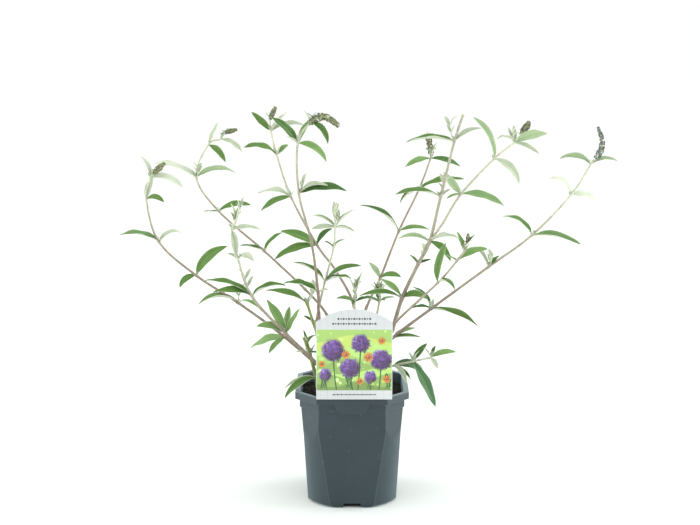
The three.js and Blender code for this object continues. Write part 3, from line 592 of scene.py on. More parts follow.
def bark_finish(name, base, felt):
    """Bark that runs in fine lengthwise streaks; felt is the share of pale down on it."""
    finish = Finish(name, roughness=0.78, specular=0.3)
    finish.felt(0.25 * felt)
    streaks = finish.noise(700, detail=5, rough=0.65, stretch=(1.0, 1.0, 0.16))
    patches = finish.noise(120, detail=3)
    streaked = finish.mix(finish.band(streaks, 0.35, 0.68), tinted(base, 0.7), tinted(base, 1.16))
    finish.paint(finish.mix(finish.band(patches, 0.35, 0.75, 0.0, 0.6), streaked, tinted(base, 1.22)))
    finish.bump((streaks, 0.5, 0.25), (finish.noise(2600, detail=2), 0.3, 0.06))
    return finish.material


def leaf_finish(name, base, roughness, felt, contrast):
    """Leaf skin: soft patches, fine mottling and a crumpled net between the veins."""
    finish = Finish(name, roughness, specular=0.24)
    finish.felt(felt)
    patches = finish.noise(55)
    net = finish.noise(900, detail=4, rough=0.6)
    mottled = finish.mix(finish.band(net, 0.3, 0.7), tinted(base, 1.0 - contrast),
                         tinted(base, 1.0 + contrast))
    warm = tinted(base, 1.12, (0.012, 0.004, 0.0))
    finish.paint(finish.mix(finish.band(patches, 0.35, 0.7, 0.0, 0.7), mottled, warm))
    finish.gloss(patches, roughness - 0.06, roughness + 0.06)
    finish.bump((net, 0.35, 0.18), (finish.cells(1100), 0.2, 0.1))
    return finish.material


def skin_finishes(kind, skins, settings):
    """A leaf finish for each row (name, roughness, felt, contrast), in the setting's colour of that name."""
    return [leaf_finish(f"{kind}_{name}", tinted(getattr(settings, name)), roughness, felt, contrast)
            for name, roughness, felt, contrast in skins]


# ---- stage: camera, floor and soft light ----
CAMERA_PLACE = (-0.003, -1.9, 0.71)
CAMERA_PITCH = 79.34
CAMERA_LENS = 68.1
SENSOR = 36.0
CLIP_END = 100.0
LIGHT_TARGET = (0.0, 0.0, 0.25)
# name, place, width, the setting that gives its power, and its share of that power
LIGHTS = (
    ("left_light", (-2.6, 0.3, 1.1), 2.2, "side_power", 1.0),
    ("right_light", (2.6, 0.3, 1.1), 2.2, "side_power", 1.4),
    ("top_light", (0.0, -0.6, 3.0), 2.5, "top_power", 1.0),
    ("edge_left_light", (-1.9, -1.5, 0.8), 0.35, "edge_power", 1.0),
    ("edge_right_light", (1.9, -1.5, 0.8), 0.35, "edge_power", 1.0),
)
PAPER_SHADE_TONES = ((0.735, 0.775, 0.75, 1.0), (0.75, 0.785, 0.76, 1.0))  # painted shade round the pot
PAPER_UNSHADED = (0.94, 0.955, 0.945, 1.0)
PAPER_FAR = (0.992, 0.994, 0.992, 1.0)
PAPER_SHADE_FADE_FROM, PAPER_SHADE_FADE_TO = 0.1, 0.55  # distances from the pot at which the painted shade fades to the plain tone
PAPER_FAR_FROM, PAPER_FAR_TO = 1.5, 5.0
SURROUNDINGS = (0.992, 1.0, 0.996, 1.0)


def add_camera():
    camera = bpy.data.cameras.new("view")
    camera.sensor_width = SENSOR
    camera.lens = CAMERA_LENS
    camera.clip_end = CLIP_END
    stand = put("view", camera)
    stand.location = CAMERA_PLACE
    stand.rotation_euler = (math.radians(CAMERA_PITCH), 0.0, 0.0)
    bpy.context.scene.camera = stand


def add_light(name, place, size, power):
    """Square soft light that faces the middle of the plant."""
    light = bpy.data.lights.new(name, "AREA")
    light.shape = "SQUARE"
    light.size = size
    light.energy = power
    lamp = put(name, light)
    lamp.location = place
    towards = Vector(LIGHT_TARGET) - Vector(place)
    lamp.rotation_euler = towards.to_track_quat("-Z", "Y").to_euler()


def add_floor(half):
    """Pale paper with painted shade round the pot; it gets lighter away from the pot."""
    mesh = bpy.data.meshes.new("floor")
    corners = [(-half, -half, 0), (half, -half, 0), (half, half, 0), (-half, half, 0)]
    mesh.from_pydata(corners, [], [(0, 1, 2, 3)])
    finish = Finish("floor_paper", roughness=0.7, specular=0.2)
    # painted shade: darker paper round the pot, fading to the plain tone further out
    shade_round_pot = finish.mix(finish.noise(3, detail=2), *PAPER_SHADE_TONES)
    near = finish.reach(stretch=(1.0, 0.3, 1.0), shift=(0.0, -0.06, 0.0))
    fading_shade = finish.mix(finish.band(near, PAPER_SHADE_FADE_FROM, PAPER_SHADE_FADE_TO), shade_round_pot, PAPER_UNSHADED)
    finish.paint(finish.mix(finish.band(finish.reach(), PAPER_FAR_FROM, PAPER_FAR_TO), fading_shade, PAPER_FAR))
    mesh.materials.append(finish.material)
    floor = put("floor", mesh)


def add_world(brightness):
    world = bpy.data.worlds.new("surroundings")
    world.use_nodes = True
    background = world.node_tree.nodes["Background"]
    background.inputs["Color"].default_value = SURROUNDINGS
    background.inputs["Strength"].default_value = brightness
    bpy.context.scene.world = world


# ---- pot ----
CREASE_STEPS = 4
# painted highlight along the creases: how much lighter and warmer their plastic is
CREASE_HIGHLIGHT_LIGHTER, CREASE_HIGHLIGHT_SHIFT = 1.5, (0.02, 0.012, 0.0)
CORNER_STEPS = 14
SUPPORT = 1.6  # flat strip beside each crease
EDGE_STEPS = 3
EDGE_MOST = 0.4  # an edge's rounding takes no more of a face than this share
SHOULDER_ROWS = 14
SHOULDER_BELOW = 6.0  # these rows start this far under the shoulder
POCKET_ROUNDING, NOTCH_ROUNDING = 0.6, 0.5  # shares of the pot's own edge rounding
CRUMB_SIZES, CRUMB_SIDES = (0.25, 0.75), 6
CRUMB_UNEVEN = (0.6, 1.2)
CRUMB_RINGS = ((-0.9, 0.4), (-0.3, 1.0), (0.5, 0.8))
CRUMB_TONES = (("crumb_tan", 1.0, 1.5), ("crumb_dark", 0.15, 0.4))


def curve_between(start, control, end):
    """Points of a short curve that rounds off a crease."""
    shares = np.linspace(0.0, 1.0, CREASE_STEPS + 1)[:, None]
    return (1 - shares) ** 2 * start + 2 * shares * (1 - shares) * control + shares**2 * end


def pot_ring(z, flat, round_, chamfer, edge):
    """Square section whose corners are round as far as the chamfer lets them, with softened creases."""
    reach = min(math.sqrt(round_ * round_ - flat * flat), chamfer * math.sqrt(2) - flat)
    crease = math.atan2(reach, flat)
    points = []
    step = edge / chamfer
    for quarter in range(4):
        def place(x, y, turn=quarter * math.pi / 2):
            return np.array(turned(x, y, turn))

        def on_corner(angle):
            radius = min(round_, chamfer / math.cos(angle - math.pi / 4))
            return place(radius * math.cos(angle), radius * math.sin(angle))

        points.append(place(flat, reach - edge - SUPPORT))
        points.extend(curve_between(place(flat, reach - edge), place(flat, reach), on_corner(crease + step)))
        for angle in np.linspace(crease + 2 * step, math.pi / 2 - crease - 2 * step, CORNER_STEPS):
            points.append(on_corner(angle))
        points.extend(curve_between(on_corner(math.pi / 2 - crease - step), place(reach, flat),
                                    place(reach - edge, flat)))
        points.append(place(reach - edge - SUPPORT, flat))
    return np.array([(x, y, z) for x, y in points])


def crease_highlight_columns():
    """Finish of each column of faces round the pot: 1 on the creases, which carry a painted highlight, 0
    elsewhere.
    """
    crease = [1] * CREASE_STEPS
    corner = [0] * (CORNER_STEPS + 1)
    return [0, *crease, *corner, *crease, 0, 0] * 4


def body_row(z):
    """The body's section at a height, between the named ones."""
    heights = [row[0] for row in BODY]
    return (z, *(float(np.interp(z, heights, [row[k] for row in BODY])) for k in (1, 2, 3)))


def softened(rings, edge):
    """Rounds the edge at each inner ring of a stack, point by point."""
    result = [rings[0]]
    for before, ring, after in zip(rings, rings[1:], rings[2:]):
        reach_back = np.linalg.norm(before - ring, axis=1, keepdims=True)
        reach_on = np.linalg.norm(after - ring, axis=1, keepdims=True)
        start = ring + (before - ring) * np.minimum(edge / reach_back, EDGE_MOST)
        end = ring + (after - ring) * np.minimum(edge / reach_on, EDGE_MOST)
        shares = np.linspace(0.0, 1.0, EDGE_STEPS + 1)
        result.extend((1 - s) ** 2 * start + 2 * s * (1 - s) * ring + s * s * end for s in shares)
    result.append(rings[-1])
    return result


def prism(bottom_width, top_width, low, high, front, back, edge=0.0):
    """Trapezium prism standing across the front, as a mesh in metres."""
    form = bmesh.new()
    bottom, top = bottom_width / 2, top_width / 2
    outline = ((-bottom, low), (bottom, low), (top, high), (-top, high))
    near, far = ([form.verts.new((x * MM, y * MM, z * MM)) for x, z in outline] for y in (front, back))
    form.faces.new(near)
    form.faces.new(list(reversed(far)))
    for k in range(4):
        j = (k + 1) % 4
        form.faces.new((near[j], near[k], far[k], far[j]))
    if edge:
        bmesh.ops.bevel(form, geom=form.edges[:], offset=edge * MM, segments=2, profile=0.5, affect="EDGES")
    bmesh.ops.recalc_face_normals(form, faces=form.faces[:])
    mesh = bpy.data.meshes.new("tool")
    form.to_mesh(mesh)
    form.free()
    return mesh


def carve(mesh, tool_mesh, operation):
    """Joins or cuts one mesh with another and returns the result."""
    body = put("carved", mesh)
    tool = put("tool", tool_mesh)
    modifier = body.modifiers.new("carve", "BOOLEAN")
    modifier.operation = operation
    modifier.solver = "EXACT"
    modifier.object = tool
    bpy.context.view_layer.update()
    result = bpy.data.meshes.new_from_object(body.evaluated_get(bpy.context.evaluated_depsgraph_get()))
    bpy.data.objects.remove(body)
    bpy.data.objects.remove(tool)
    return result


def build_pot(settings):
    edge = settings.edge / MM
    lip_bottom = POT_HEIGHT - RIM_SKIRT
    band_bottom = lip_bottom - BAND_HEIGHT
    ledge_under = POT_HEIGHT - RIM_THICK

    def rim(z, inset):
        return pot_ring(z, RIM_HALF - inset, 2 * RIM_HALF, RIM_DIAGONAL - inset, edge)

    def section(row, inset):
        return pot_ring(row[0], row[1] - inset, row[2] - inset, row[3] - inset, edge)

    def body(height, inset=0.0):
        return section(body_row(height), inset)

    shoulder = SHOULDER[0]
    top = BODY[-1][0]
    rings = [
        *(body(row[0]) for row in BODY[:4]),
        *(body(z) for z in np.linspace(shoulder - SHOULDER_BELOW, top, SHOULDER_ROWS)),
        rim(band_bottom, RIM_LEDGE),
        rim(ledge_under, RIM_LEDGE),
        rim(ledge_under, WALL),
        rim(lip_bottom, WALL),
        rim(lip_bottom, 0.0),
        rim(POT_HEIGHT, 0.0),
        rim(POT_HEIGHT, RIM_LEDGE + WALL),
        rim(band_bottom + WALL, RIM_LEDGE + WALL),
        body(top, WALL),
        body(shoulder, WALL),
        section(FOOT_INSIDE, WALL),
    ]
    rings = softened(rings, edge)
    shell = Solid()
    shell.skin(rings, [crease_highlight_columns()] * (len(rings) - 1), on_axis(0.0), on_axis(FLOOR))
    # painted highlight: a lighter, warmer copy of the plastic on the crease faces
    crease = tinted(settings.plastic, CREASE_HIGHLIGHT_LIGHTER, CREASE_HIGHLIGHT_SHIFT)
    mesh = shell.mesh("pot", [pot_finish("pot_plastic", settings.plastic, settings),
                              pot_finish("pot_crease", crease, settings)])
    pocket_low = lip_bottom - POCKET_HEIGHT
    pocket = prism(POCKET_BOTTOM, POCKET_TOP, pocket_low, lip_bottom + POCKET_SUNK, -POCKET_FRONT,
                   -(RIM_HALF - RIM_LEDGE) + POCKET_SUNK, edge * POCKET_ROUNDING)
    mesh = carve(mesh, pocket, "UNION")
    slot = prism(SLOT_FOOT, SLOT_WIDTH, pocket_low + POCKET_FLOOR, POT_HEIGHT + 1,
                 SLOT_Y - SLOT_DEPTH / 2, SLOT_Y + SLOT_DEPTH / 2)
    mesh = carve(mesh, slot, "DIFFERENCE")
    for side in range(4):
        notch = prism(NOTCH_WIDTH, NOTCH_TOP, -1, NOTCH_HEIGHT, -SHOULDER[1], -NOTCH_INNER,
                      edge * NOTCH_ROUNDING)
        for vertex in notch.vertices:
            x, y, z = vertex.co
            vertex.co = (*turned(x, y, side * math.pi / 2), z)
        mesh = carve(mesh, notch, "DIFFERENCE")
    settle("pot_moulding", mesh, ("pot",), sharp=28.0)
    scatter_crumbs(settings)


def scatter_crumbs(settings):
    """Grains of dry compost that stick to the outside of the pot, more of them higher up."""
    draw = random_from(59)
    crumbs = Solid()
    for _ in range(settings.crumbs):
        z = lerp(8.0, BODY[-1][0] - 3, math.sqrt(draw()))
        _, flat, round_, chamfer = body_row(z)
        angle = 2 * math.pi * draw()
        inner = (angle + math.pi / 4) % (math.pi / 2) - math.pi / 4
        away = min(flat / math.cos(inner), round_, chamfer / math.cos(abs(inner) - math.pi / 4))
        size = lerp(*CRUMB_SIZES, draw() ** 2)
        middle = np.array([away * math.cos(angle), away * math.sin(angle), z])
        rings = []
        for lift, wide in CRUMB_RINGS:
            ring = []
            for corner in np.linspace(0, 2 * math.pi, CRUMB_SIDES, endpoint=False):
                x = wide * lerp(*CRUMB_UNEVEN, draw()) * math.cos(corner)
                y = wide * lerp(*CRUMB_UNEVEN, draw()) * math.sin(corner)
                ring.append(middle + size * np.array([x, y, lift]))
            rings.append(ring)
        crumbs.skin(rings, int(draw() * len(CRUMB_TONES)))
    crumbs.build("pot_crumbs", litter_finishes(settings.crumb, CRUMB_TONES), "compost")


# ---- compost ----
COMPOST_RINGS = 46
COMPOST_RELIEF = 2.4
COMPOST_CREASE = 1.5
COMPOST_HALF = 71.5
COMPOST_UNDER = 151.0  # the ring at which its sides end and its uneven top begins
COMPOST_REACH = (RIM_DIAGONAL - RIM_LEDGE - 6) * math.sqrt(2)  # how far into the corners litter lies
FIBRE_REACH = 1.3 * RIM_HALF
CHIP_LENGTHS = (1.8, 7.5)
CHIP_WIDTHS = (0.25, 0.6)  # shares of the length
CHIP_THICKNESSES = (0.4, 1.5)
CHIP_LEANS = (62, 96)
CHIP_UNEVEN = (0.7, 1.15)
CHIP_RINGS = ((-0.5, 0.35), (-0.3, 0.9), (0.15, 1.0), (0.5, 0.4))
CHIP_SIDES = 6
CHIP_TONES = (("chip_brown", 1.0, 1.5), ("chip_dark", 0.35, 0.6), ("chip_tan", 1.6, 2.3))
FIBRE_BENDS = (-60, 60)
FIBRE_RADII = (0.09, 0.24)
FIBRE_LENGTHS = (3, 15)
FIBRE_STEPS = 8
FIBRE_ARCH = 0.8
FIBRE_ANGLES = (0.0, 2.1, 4.2)  # corners of a strand's section, in radians
FIBRE_TONES = (("fibre_tan", 1.0, 1.3), ("fibre_brown", 0.4, 0.6))


def compost_height(x, y):
    """Uneven top of the compost: higher in the middle, with clods and crumbs."""
    far = min(1.0, math.hypot(x, y) / (RIM_HALF - RIM_LEDGE))
    level = lerp(COMPOST_MIDDLE, COMPOST_EDGE, far * far)
    clods = noise.noise(Vector((x * 0.06, y * 0.06, 3.1)))
    clods += 0.6 * noise.noise(Vector((x * 0.17, y * 0.17, 9.4)))
    crumbs = noise.noise(Vector((x * 0.55, y * 0.55, 1.7)))
    return level + COMPOST_RELIEF * (0.7 * clods + 0.3 * crumbs)


def build_compost(settings):
    inset = WALL + COMPOST_ROOM
    outline = pot_ring(COMPOST_EDGE, RIM_HALF - RIM_LEDGE - inset, 2 * RIM_HALF,
                       RIM_DIAGONAL - RIM_LEDGE - inset, COMPOST_CREASE)
    floor = FLOOR + COMPOST_ROOM
    lower = []
    for height, *section in (FOOT_INSIDE, SHOULDER, BODY[-1]):
        lower.append(pot_ring(max(height, floor), *(size - inset for size in section), COMPOST_CREASE))
    lower.append(outline - on_axis(COMPOST_EDGE - COMPOST_UNDER))
    upper = []
    for k in range(COMPOST_RINGS):
        share = 1.0 - k / COMPOST_RINGS
        ring = outline * np.array([share, share, 1.0])
        upper.append(np.array([(x, y, compost_height(x, y)) for x, y, _ in ring]))
    fill = Solid()
    rows = len(lower) + len(upper) - 1
    # the compost's sides and bottom, seen only through the drain notches, are near black: partly moist
    # compost, partly painted shade
    wet_shaded_rows = len(lower) - 1
    finishes = [[int(row < wet_shaded_rows)] * len(outline) for row in range(rows)]
    fill.skin(lower + upper, finishes, on_axis(floor), on_axis(compost_height(0, 0)))
    soil = tinted(settings.soil)
    fill.build("compost_fill", [compost_finish("compost_soil", soil, tinted(settings.chip, 0.9)),
                                compost_finish("compost_wet", tinted(soil, 0.25), tinted(soil, 0.5), 0.8)],
               "compost", ("compost",), sharp=60.0)
    scatter_chips(settings)
    scatter_fibres(settings)


def compost_spot(draw):
    """A random place on the compost's top, inside the rim."""
    while True:
        x = lerp(-COMPOST_HALF, COMPOST_HALF, draw())
        y = lerp(-COMPOST_HALF, COMPOST_HALF, draw())
        if abs(x) + abs(y) < COMPOST_REACH:
            return x, y


def scatter_chips(settings):
    """Flat splinters of bark, each a six-sided slab, pressed into the surface."""
    draw = random_from(71)
    chips = Solid()
    for _ in range(settings.chips):
        x, y = compost_spot(draw)
        long = lerp(*CHIP_LENGTHS, draw() ** 2)
        wide = long * lerp(*CHIP_WIDTHS, draw())
        thick = lerp(*CHIP_THICKNESSES, draw())
        heading = 360 * draw()
        along = direction(lerp(*CHIP_LEANS, draw()), heading)
        across = unit(np.cross(np.array([0.3 * draw(), 0.3 * draw(), 1.0]), along))
        up = np.cross(along, across)
        middle = np.array([x, y, compost_height(x, y) + thick * 0.35])
        rings = []
        for share_along, wider in CHIP_RINGS:
            ring = []
            for k in range(CHIP_SIDES):
                angle = 2 * math.pi * k / CHIP_SIDES
                half = wider * lerp(*CHIP_UNEVEN, draw()) / 2
                ring.append(middle + along * share_along * long + across * math.cos(angle) * wide * half
                            + up * math.sin(angle) * thick * half)
            rings.append(ring)
        chips.skin(rings, int(draw() * len(CHIP_TONES)))
    chips.build("compost_chips", litter_finishes(settings.chip, CHIP_TONES, 0.85, 700), "compost", sharp=25.0)


def scatter_fibres(settings):
    """Thin curved strands that lie on the crumbs."""
    draw = random_from(113)
    strands = Solid()
    for _ in range(settings.fibres):
        x, y = compost_spot(draw)
        heading = 360 * draw()
        bend = lerp(*FIBRE_BENDS, draw())
        radius = lerp(*FIBRE_RADII, draw())
        step = lerp(*FIBRE_LENGTHS, draw()) / FIBRE_STEPS
        rings = []
        for k in range(FIBRE_STEPS + 1):
            turn = math.radians(heading + bend * k / FIBRE_STEPS)
            arch = math.sin(math.pi * k / FIBRE_STEPS) * FIBRE_ARCH
            middle = np.array([x, y, compost_height(x, y) + radius + arch])
            side = np.array([-math.sin(turn), math.cos(turn), 0.0])
            rings.append([middle + side * math.cos(angle) * radius + on_axis(math.sin(angle) * radius)
                          for angle in FIBRE_ANGLES])
            x += math.cos(turn) * step
            y += math.sin(turn) * step
            if max(abs(x), abs(y)) > COMPOST_HALF or abs(x) + abs(y) > FIBRE_REACH:
                break
        if len(rings) > 2:
            strands.skin(rings, int(draw() * len(FIBRE_TONES)))
    strands.build("compost_fibres", litter_finishes(settings.fibre, FIBRE_TONES, 0.8, 900), "compost")


# ---- plant card ----
CARD_CORNER = 1.0  # radius of the board's lower corners
CARD_BEVEL = 0.25
INK = 0.07  # thickness of one level of ink
INK_SUNK = 0.02  # how far each plate is let into the board
PICTURE_LOW, PICTURE_HIGH, PICTURE_EDGE = 13.6, 102.0, 1.0
# ink: the setting it is mixed from, how light it is, and a shift of its hue
CARD_INKS = {
    "meadow": ("meadow", 1.0), "hill_light": ("meadow", 1.28), "hill_mid": ("meadow", 0.78),
    "hill_deep": ("meadow", 0.55), "stalk": ("meadow", 0.24, (-0.03, 0.0, 0.01)),
    "petal": ("petal", 1.0), "petal_light": ("petal", 1.7), "petal_dark": ("petal", 0.45),
    "petal_pale": ("petal", 2.2, (0.18, 0.16, 0.12)), "heart": ("heart", 1.0), "heart_dark": ("heart", 0.62),
    "sun": ("heart", 1.35, (0.1, 0.2, 0.1)), "plank": ("board", 0.84), "ornament": ("board", 0.09),
    "glow": ("meadow", 1.5, (0.06, 0.04, 0.1)), "bright": ("meadow", 1.1, (0.12, 0.05, -0.02)),
}
INK_NUMBERS = {ink: number for number, ink in enumerate(CARD_INKS)}
# hills: height, swell, how close the swells are, where they start, ink
HILLS = ((88, 6, 0.05, 1.6, "bright"), (76, 7, 0.055, 0.4, "hill_light"), (64, 5, 0.065, 3.4, "meadow"),
         (54, 6, 0.07, 2.2, "hill_mid"), (42, 5, 0.05, 5.6, "hill_light"), (33, 6, 0.06, 4.4, "hill_mid"),
         (22, 4, 0.085, 1.1, "hill_deep"))
LIGHT_SPOTS, SPOT_RADII, SPOT_INKS = 46, (0.8, 3.4), ("glow", "bright", "hill_light")
# round flower heads: x, z, radius, how far the stalk's foot stands aside
GLOBES = ((-30, 72, 16, 5), (9, 82, 13, -4), (38, 58, 15, -3), (-6, 46, 14, 4), (-41, 36, 9, 2),
          (23, 33, 9, 0))
FLORETS = 0.62  # times a head's radius squared, in millimetres, is how many it has
FLORET_TURN = 2.39996  # the golden angle, from one floret to the next
FLORET_INKS = ("petal_dark", "petal", "petal_light", "petal_pale")
# daisies: x, z, radius
DAISIES = ((-12, 66, 6.5), (20, 62, 7.5), (39, 86, 5.5), (-46, 52, 5.0), (8, 27, 5.5), (46, 30, 6.0))
# leaves between the stalks: x, heading, length
LEAFAGE = ((-47, 74, 24), (-39, 112, 19), (-12, 66, 22), (-4, 108, 27), (19, 70, 20), (27, 118, 17),
           (44, 64, 18), (50, 100, 25))
# rows of ornaments: how many on each side of the middle, z, height
ORNAMENTS = ((10, 7.2, 3.0), (8, 110.5, 3.8), (6, 117.6, 3.8))
PLANKS = range(-48, 54, 10)  # x of the joints in the white strips


def card_place(x, y, z):
    """Place of a point of the card given about the middle of the rim's top edge."""
    return np.array([x, CARD_Y + y, POT_HEIGHT + CARD_LIFT + z])


def card_point(x, z, ahead=0.0):
    """Place on the board's front; z is from its lower edge, and ahead is how far in front it stands."""
    return card_place(x + CARD_ASIDE, -CARD_THICK / 2 - ahead, z - CARD_HANG)


def arch_height(x):
    """Height of the board's arched top at x."""
    return CARD_HEIGHT - ARCH_RADIUS + math.sqrt(ARCH_RADIUS * ARCH_RADIUS - x * x)


def arc(x, z, radius, angles):
    """Points of an arc on the board; the angles are in radians, anticlockwise from the right."""
    return [(x + radius * math.cos(angle), z + radius * math.sin(angle)) for angle in angles]


def card_outline():
    """The board's outline: arched top and rounded lower corners."""
    across = CARD_WIDTH / 2 - CARD_CORNER
    sweep = math.asin(CARD_WIDTH / 2 / ARCH_RADIUS)
    arch = np.linspace(math.pi / 2 - sweep, math.pi / 2 + sweep, 49)
    return [*arc(across, CARD_CORNER, CARD_CORNER, np.linspace(-math.pi / 2, 0.0, 5)),
            *arc(0.0, CARD_HEIGHT - ARCH_RADIUS, ARCH_RADIUS, arch),
            *arc(-across, CARD_CORNER, CARD_CORNER, np.linspace(math.pi, 1.5 * math.pi, 5))]


def add_board(solid):
    """The board, with a small bevel on both faces."""
    outline = card_outline()
    inner = []
    for before, (x, z), (x_next, z_next) in zip(outline[-1:] + outline, outline, outline[1:] + outline[:1]):
        run_x, run_z = x_next - before[0], z_next - before[1]
        shift = CARD_BEVEL / math.hypot(run_x, run_z)
        inner.append((x - run_z * shift, z + run_x * shift))
    solid.skin([[card_point(x, z, ahead) for x, z in points] for points, ahead in (
        (inner, -CARD_THICK), (outline, CARD_BEVEL - CARD_THICK), (outline, -CARD_BEVEL), (inner, 0.0))], 0)


def add_tongue(solid):
    """The card's tongue: it bends back over the rim and stands in the slot."""
    back = SLOT_Y - CARD_Y
    half_thick = CARD_THICK / 2
    path = [(0.0, half_thick), (back - 1.2, half_thick), (back - 0.35, half_thick - 0.3)]
    path.append((back, half_thick - 1.2))
    path.extend((back, z) for z in np.linspace(-2.0, -TONGUE_DEPTH, 5))
    rings = []
    for (y, z), (y_next, z_next) in zip(path, path[1:] + [(back, -TONGUE_DEPTH - 1)]):
        run = math.hypot(y_next - y, z_next - z)
        over_y = -(z_next - z) / run * half_thick
        over_z = (y_next - y) / run * half_thick
        half = TONGUE_WIDTH / 2 - TONGUE_TAPER * max(0.0, -z) / TONGUE_DEPTH
        rings.append([card_place(-half, y - over_y, z - over_z), card_place(half, y - over_y, z - over_z),
                      card_place(half, y + over_y, z + over_z), card_place(-half, y + over_y, z + over_z)])
    solid.skin(rings, 0)


class Print(Solid):
    """Thin layers of ink on the card, each a closed plate a little proud of the last."""

    def plate(self, outline, level, ink):
        """Convex or star-shaped patch; outline runs anticlockwise seen from the front."""
        back = [card_point(x, z, -INK_SUNK) for x, z in outline]
        front = [card_point(x, z, INK * level) for x, z in outline]
        middle = sum(np.array(point) for point in outline) / len(outline)
        self.skin([back, front], INK_NUMBERS[ink], card_point(*middle, -INK_SUNK),
                  card_point(*middle, INK * level))

    def ribbon(self, lower, upper, level, ink):
        """Patch between two lines of points that run from left to right."""
        for (a, b), (c, d) in zip(zip(lower, lower[1:]), zip(upper, upper[1:])):
            self.plate([a, b, d, c], level, ink)

    def petal(self, x, z, heading, long, wide, level, ink, points):
        """Oval from a root in the direction of heading, widest a little past its middle."""
        turn = math.radians(heading)
        edge = []
        for k in range(points):
            angle = 2 * math.pi * k / points
            out = long / 2 * (1 - math.cos(angle))
            side = -wide / 2 * math.sin(angle) * (1 - 0.25 * math.cos(angle))
            edge.append((x + out * math.cos(turn) - side * math.sin(turn),
                         z + out * math.sin(turn) - side * math.cos(turn)))
        self.plate(edge, level, ink)

    def disc(self, x, z, radius, level, ink, points):
        angles = [2 * math.pi * k / points for k in range(points)]
        self.plate(arc(x, z, radius, angles), level, ink)

    def stroke(self, path, wide, level, ink):
        """Thin line of even width along a path."""
        for (x0, z0), (x1, z1) in zip(path, path[1:]):
            run = math.hypot(x1 - x0, z1 - z0)
            dx = -(z1 - z0) / run * wide / 2
            dz = (x1 - x0) / run * wide / 2
            corners = [(x0 - dx, z0 - dz), (x1 - dx, z1 - dz), (x1 + dx, z1 + dz), (x0 + dx, z0 + dz)]
            self.plate(corners, level, ink)


def draw_meadow(sheet, draw):
    """Hills from the back to the front, with soft discs of light over them."""
    half = CARD_WIDTH / 2 - PICTURE_EDGE
    xs = np.linspace(-half, half, 28)
    floor = [(x, PICTURE_LOW) for x in xs]
    sheet.ribbon(floor, [(x, PICTURE_HIGH) for x in xs], 1, "meadow")
    for level, (height, swell, rate, shift, ink) in enumerate(HILLS, start=2):
        ridge = [(x, height + swell * math.sin(rate * x + shift)) for x in xs]
        sheet.ribbon(floor, ridge, level * 0.6, ink)
    for _ in range(LIGHT_SPOTS):
        radius = lerp(*SPOT_RADII, draw() ** 2)
        x = lerp(-half + radius, half - radius, draw())
        z = lerp(PICTURE_LOW + radius, PICTURE_HIGH - radius, draw())
        sheet.disc(x, z, radius, 5.6 + 0.3 * draw(), SPOT_INKS[int(draw() * len(SPOT_INKS))], 16)


def draw_globe(sheet, x, z, radius, aside, draw):
    """Round flower head of many small four-petalled florets, lit from the upper left, on a stalk."""
    foot = (x + aside, PICTURE_LOW + 0.5)
    path = [(lerp(foot[0], x, s ** 0.7), lerp(foot[1], z - radius * 0.5, s)) for s in np.linspace(0, 1, 7)]
    sheet.stroke(path, 1.7, 6, "stalk")
    sheet.disc(x, z, radius * 0.88, 7, "petal_dark", 24)
    florets = int(radius * radius * FLORETS)
    for k in range(florets):
        away = radius * math.sqrt((k + 0.5) / florets) * lerp(0.94, 1.06, draw())
        turn = k * FLORET_TURN
        floret_x = x + away * math.cos(turn)
        floret_z = z + away * math.sin(turn)
        light = (floret_z - z - floret_x + x) / radius * 0.9 + 1.6 + 1.7 * (draw() - 0.5)
        ink = FLORET_INKS[max(0, min(3, int(light)))]
        spin = 90 * draw()
        for quarter in range(4):
            sheet.petal(floret_x, floret_z, spin + 90 * quarter, 1.9, 1.15, 8 + (k % 3), ink, 7)
        sheet.disc(floret_x, floret_z, 0.25, 11.5, "sun", 6)


def draw_daisy(sheet, x, z, radius):
    """Small daisy with pointed rays."""
    for k in range(12):
        heading = 30 * k + 6
        sheet.petal(x, z, heading, radius, radius * 0.36, 12 + k % 2, "heart" if k % 2 else "heart_dark", 8)
        tip_x, tip_z = arc(x, z, radius * 0.82, [math.radians(heading)])[0]
        sheet.disc(tip_x, tip_z, radius * 0.09, 14.5, "sun", 6)
    sheet.disc(x, z, radius * 0.28, 14.5, "petal_dark", 12)
    sheet.disc(x - radius * 0.08, z + radius * 0.08, radius * 0.12, 15.5, "sun", 8)


def draw_leafage(sheet, draw):
    """Leaves that rise from the lower edge between the stalks, each with a midrib."""
    for x, heading, long in LEAFAGE:
        sheet.petal(x, PICTURE_LOW + 0.6, heading, long, long * 0.27, 6.4 + draw(), "stalk", 14)
        foot_z = PICTURE_LOW + 0.8
        sheet.stroke([(x, foot_z), *arc(x, foot_z, long * 0.8, [math.radians(heading)])], 0.35, 7.6,
                     "hill_light")


def draw_white_strips(sheet):
    """Faint plank joints on the white strips, and rows of lozenges and dots on them."""
    for x in PLANKS:
        sheet.stroke([(x, 0.8), (x, PICTURE_LOW - 0.2)], 0.3, 1, "plank")
        sheet.stroke([(x, PICTURE_HIGH + 0.2), (x, arch_height(x) - 0.8)], 0.3, 1, "plank")
    for number, z, tall in ORNAMENTS:
        for k in range(-number, number + 1):
            x = k * tall * 0.98
            if k % 2 == 0:
                half = tall / 2
                sheet.plate([(x - half, z), (x, z - half), (x + half, z), (x, z + half)], 1.6, "ornament")
            else:
                sheet.disc(x, z, tall * 0.3, 1.6, "ornament", 10)


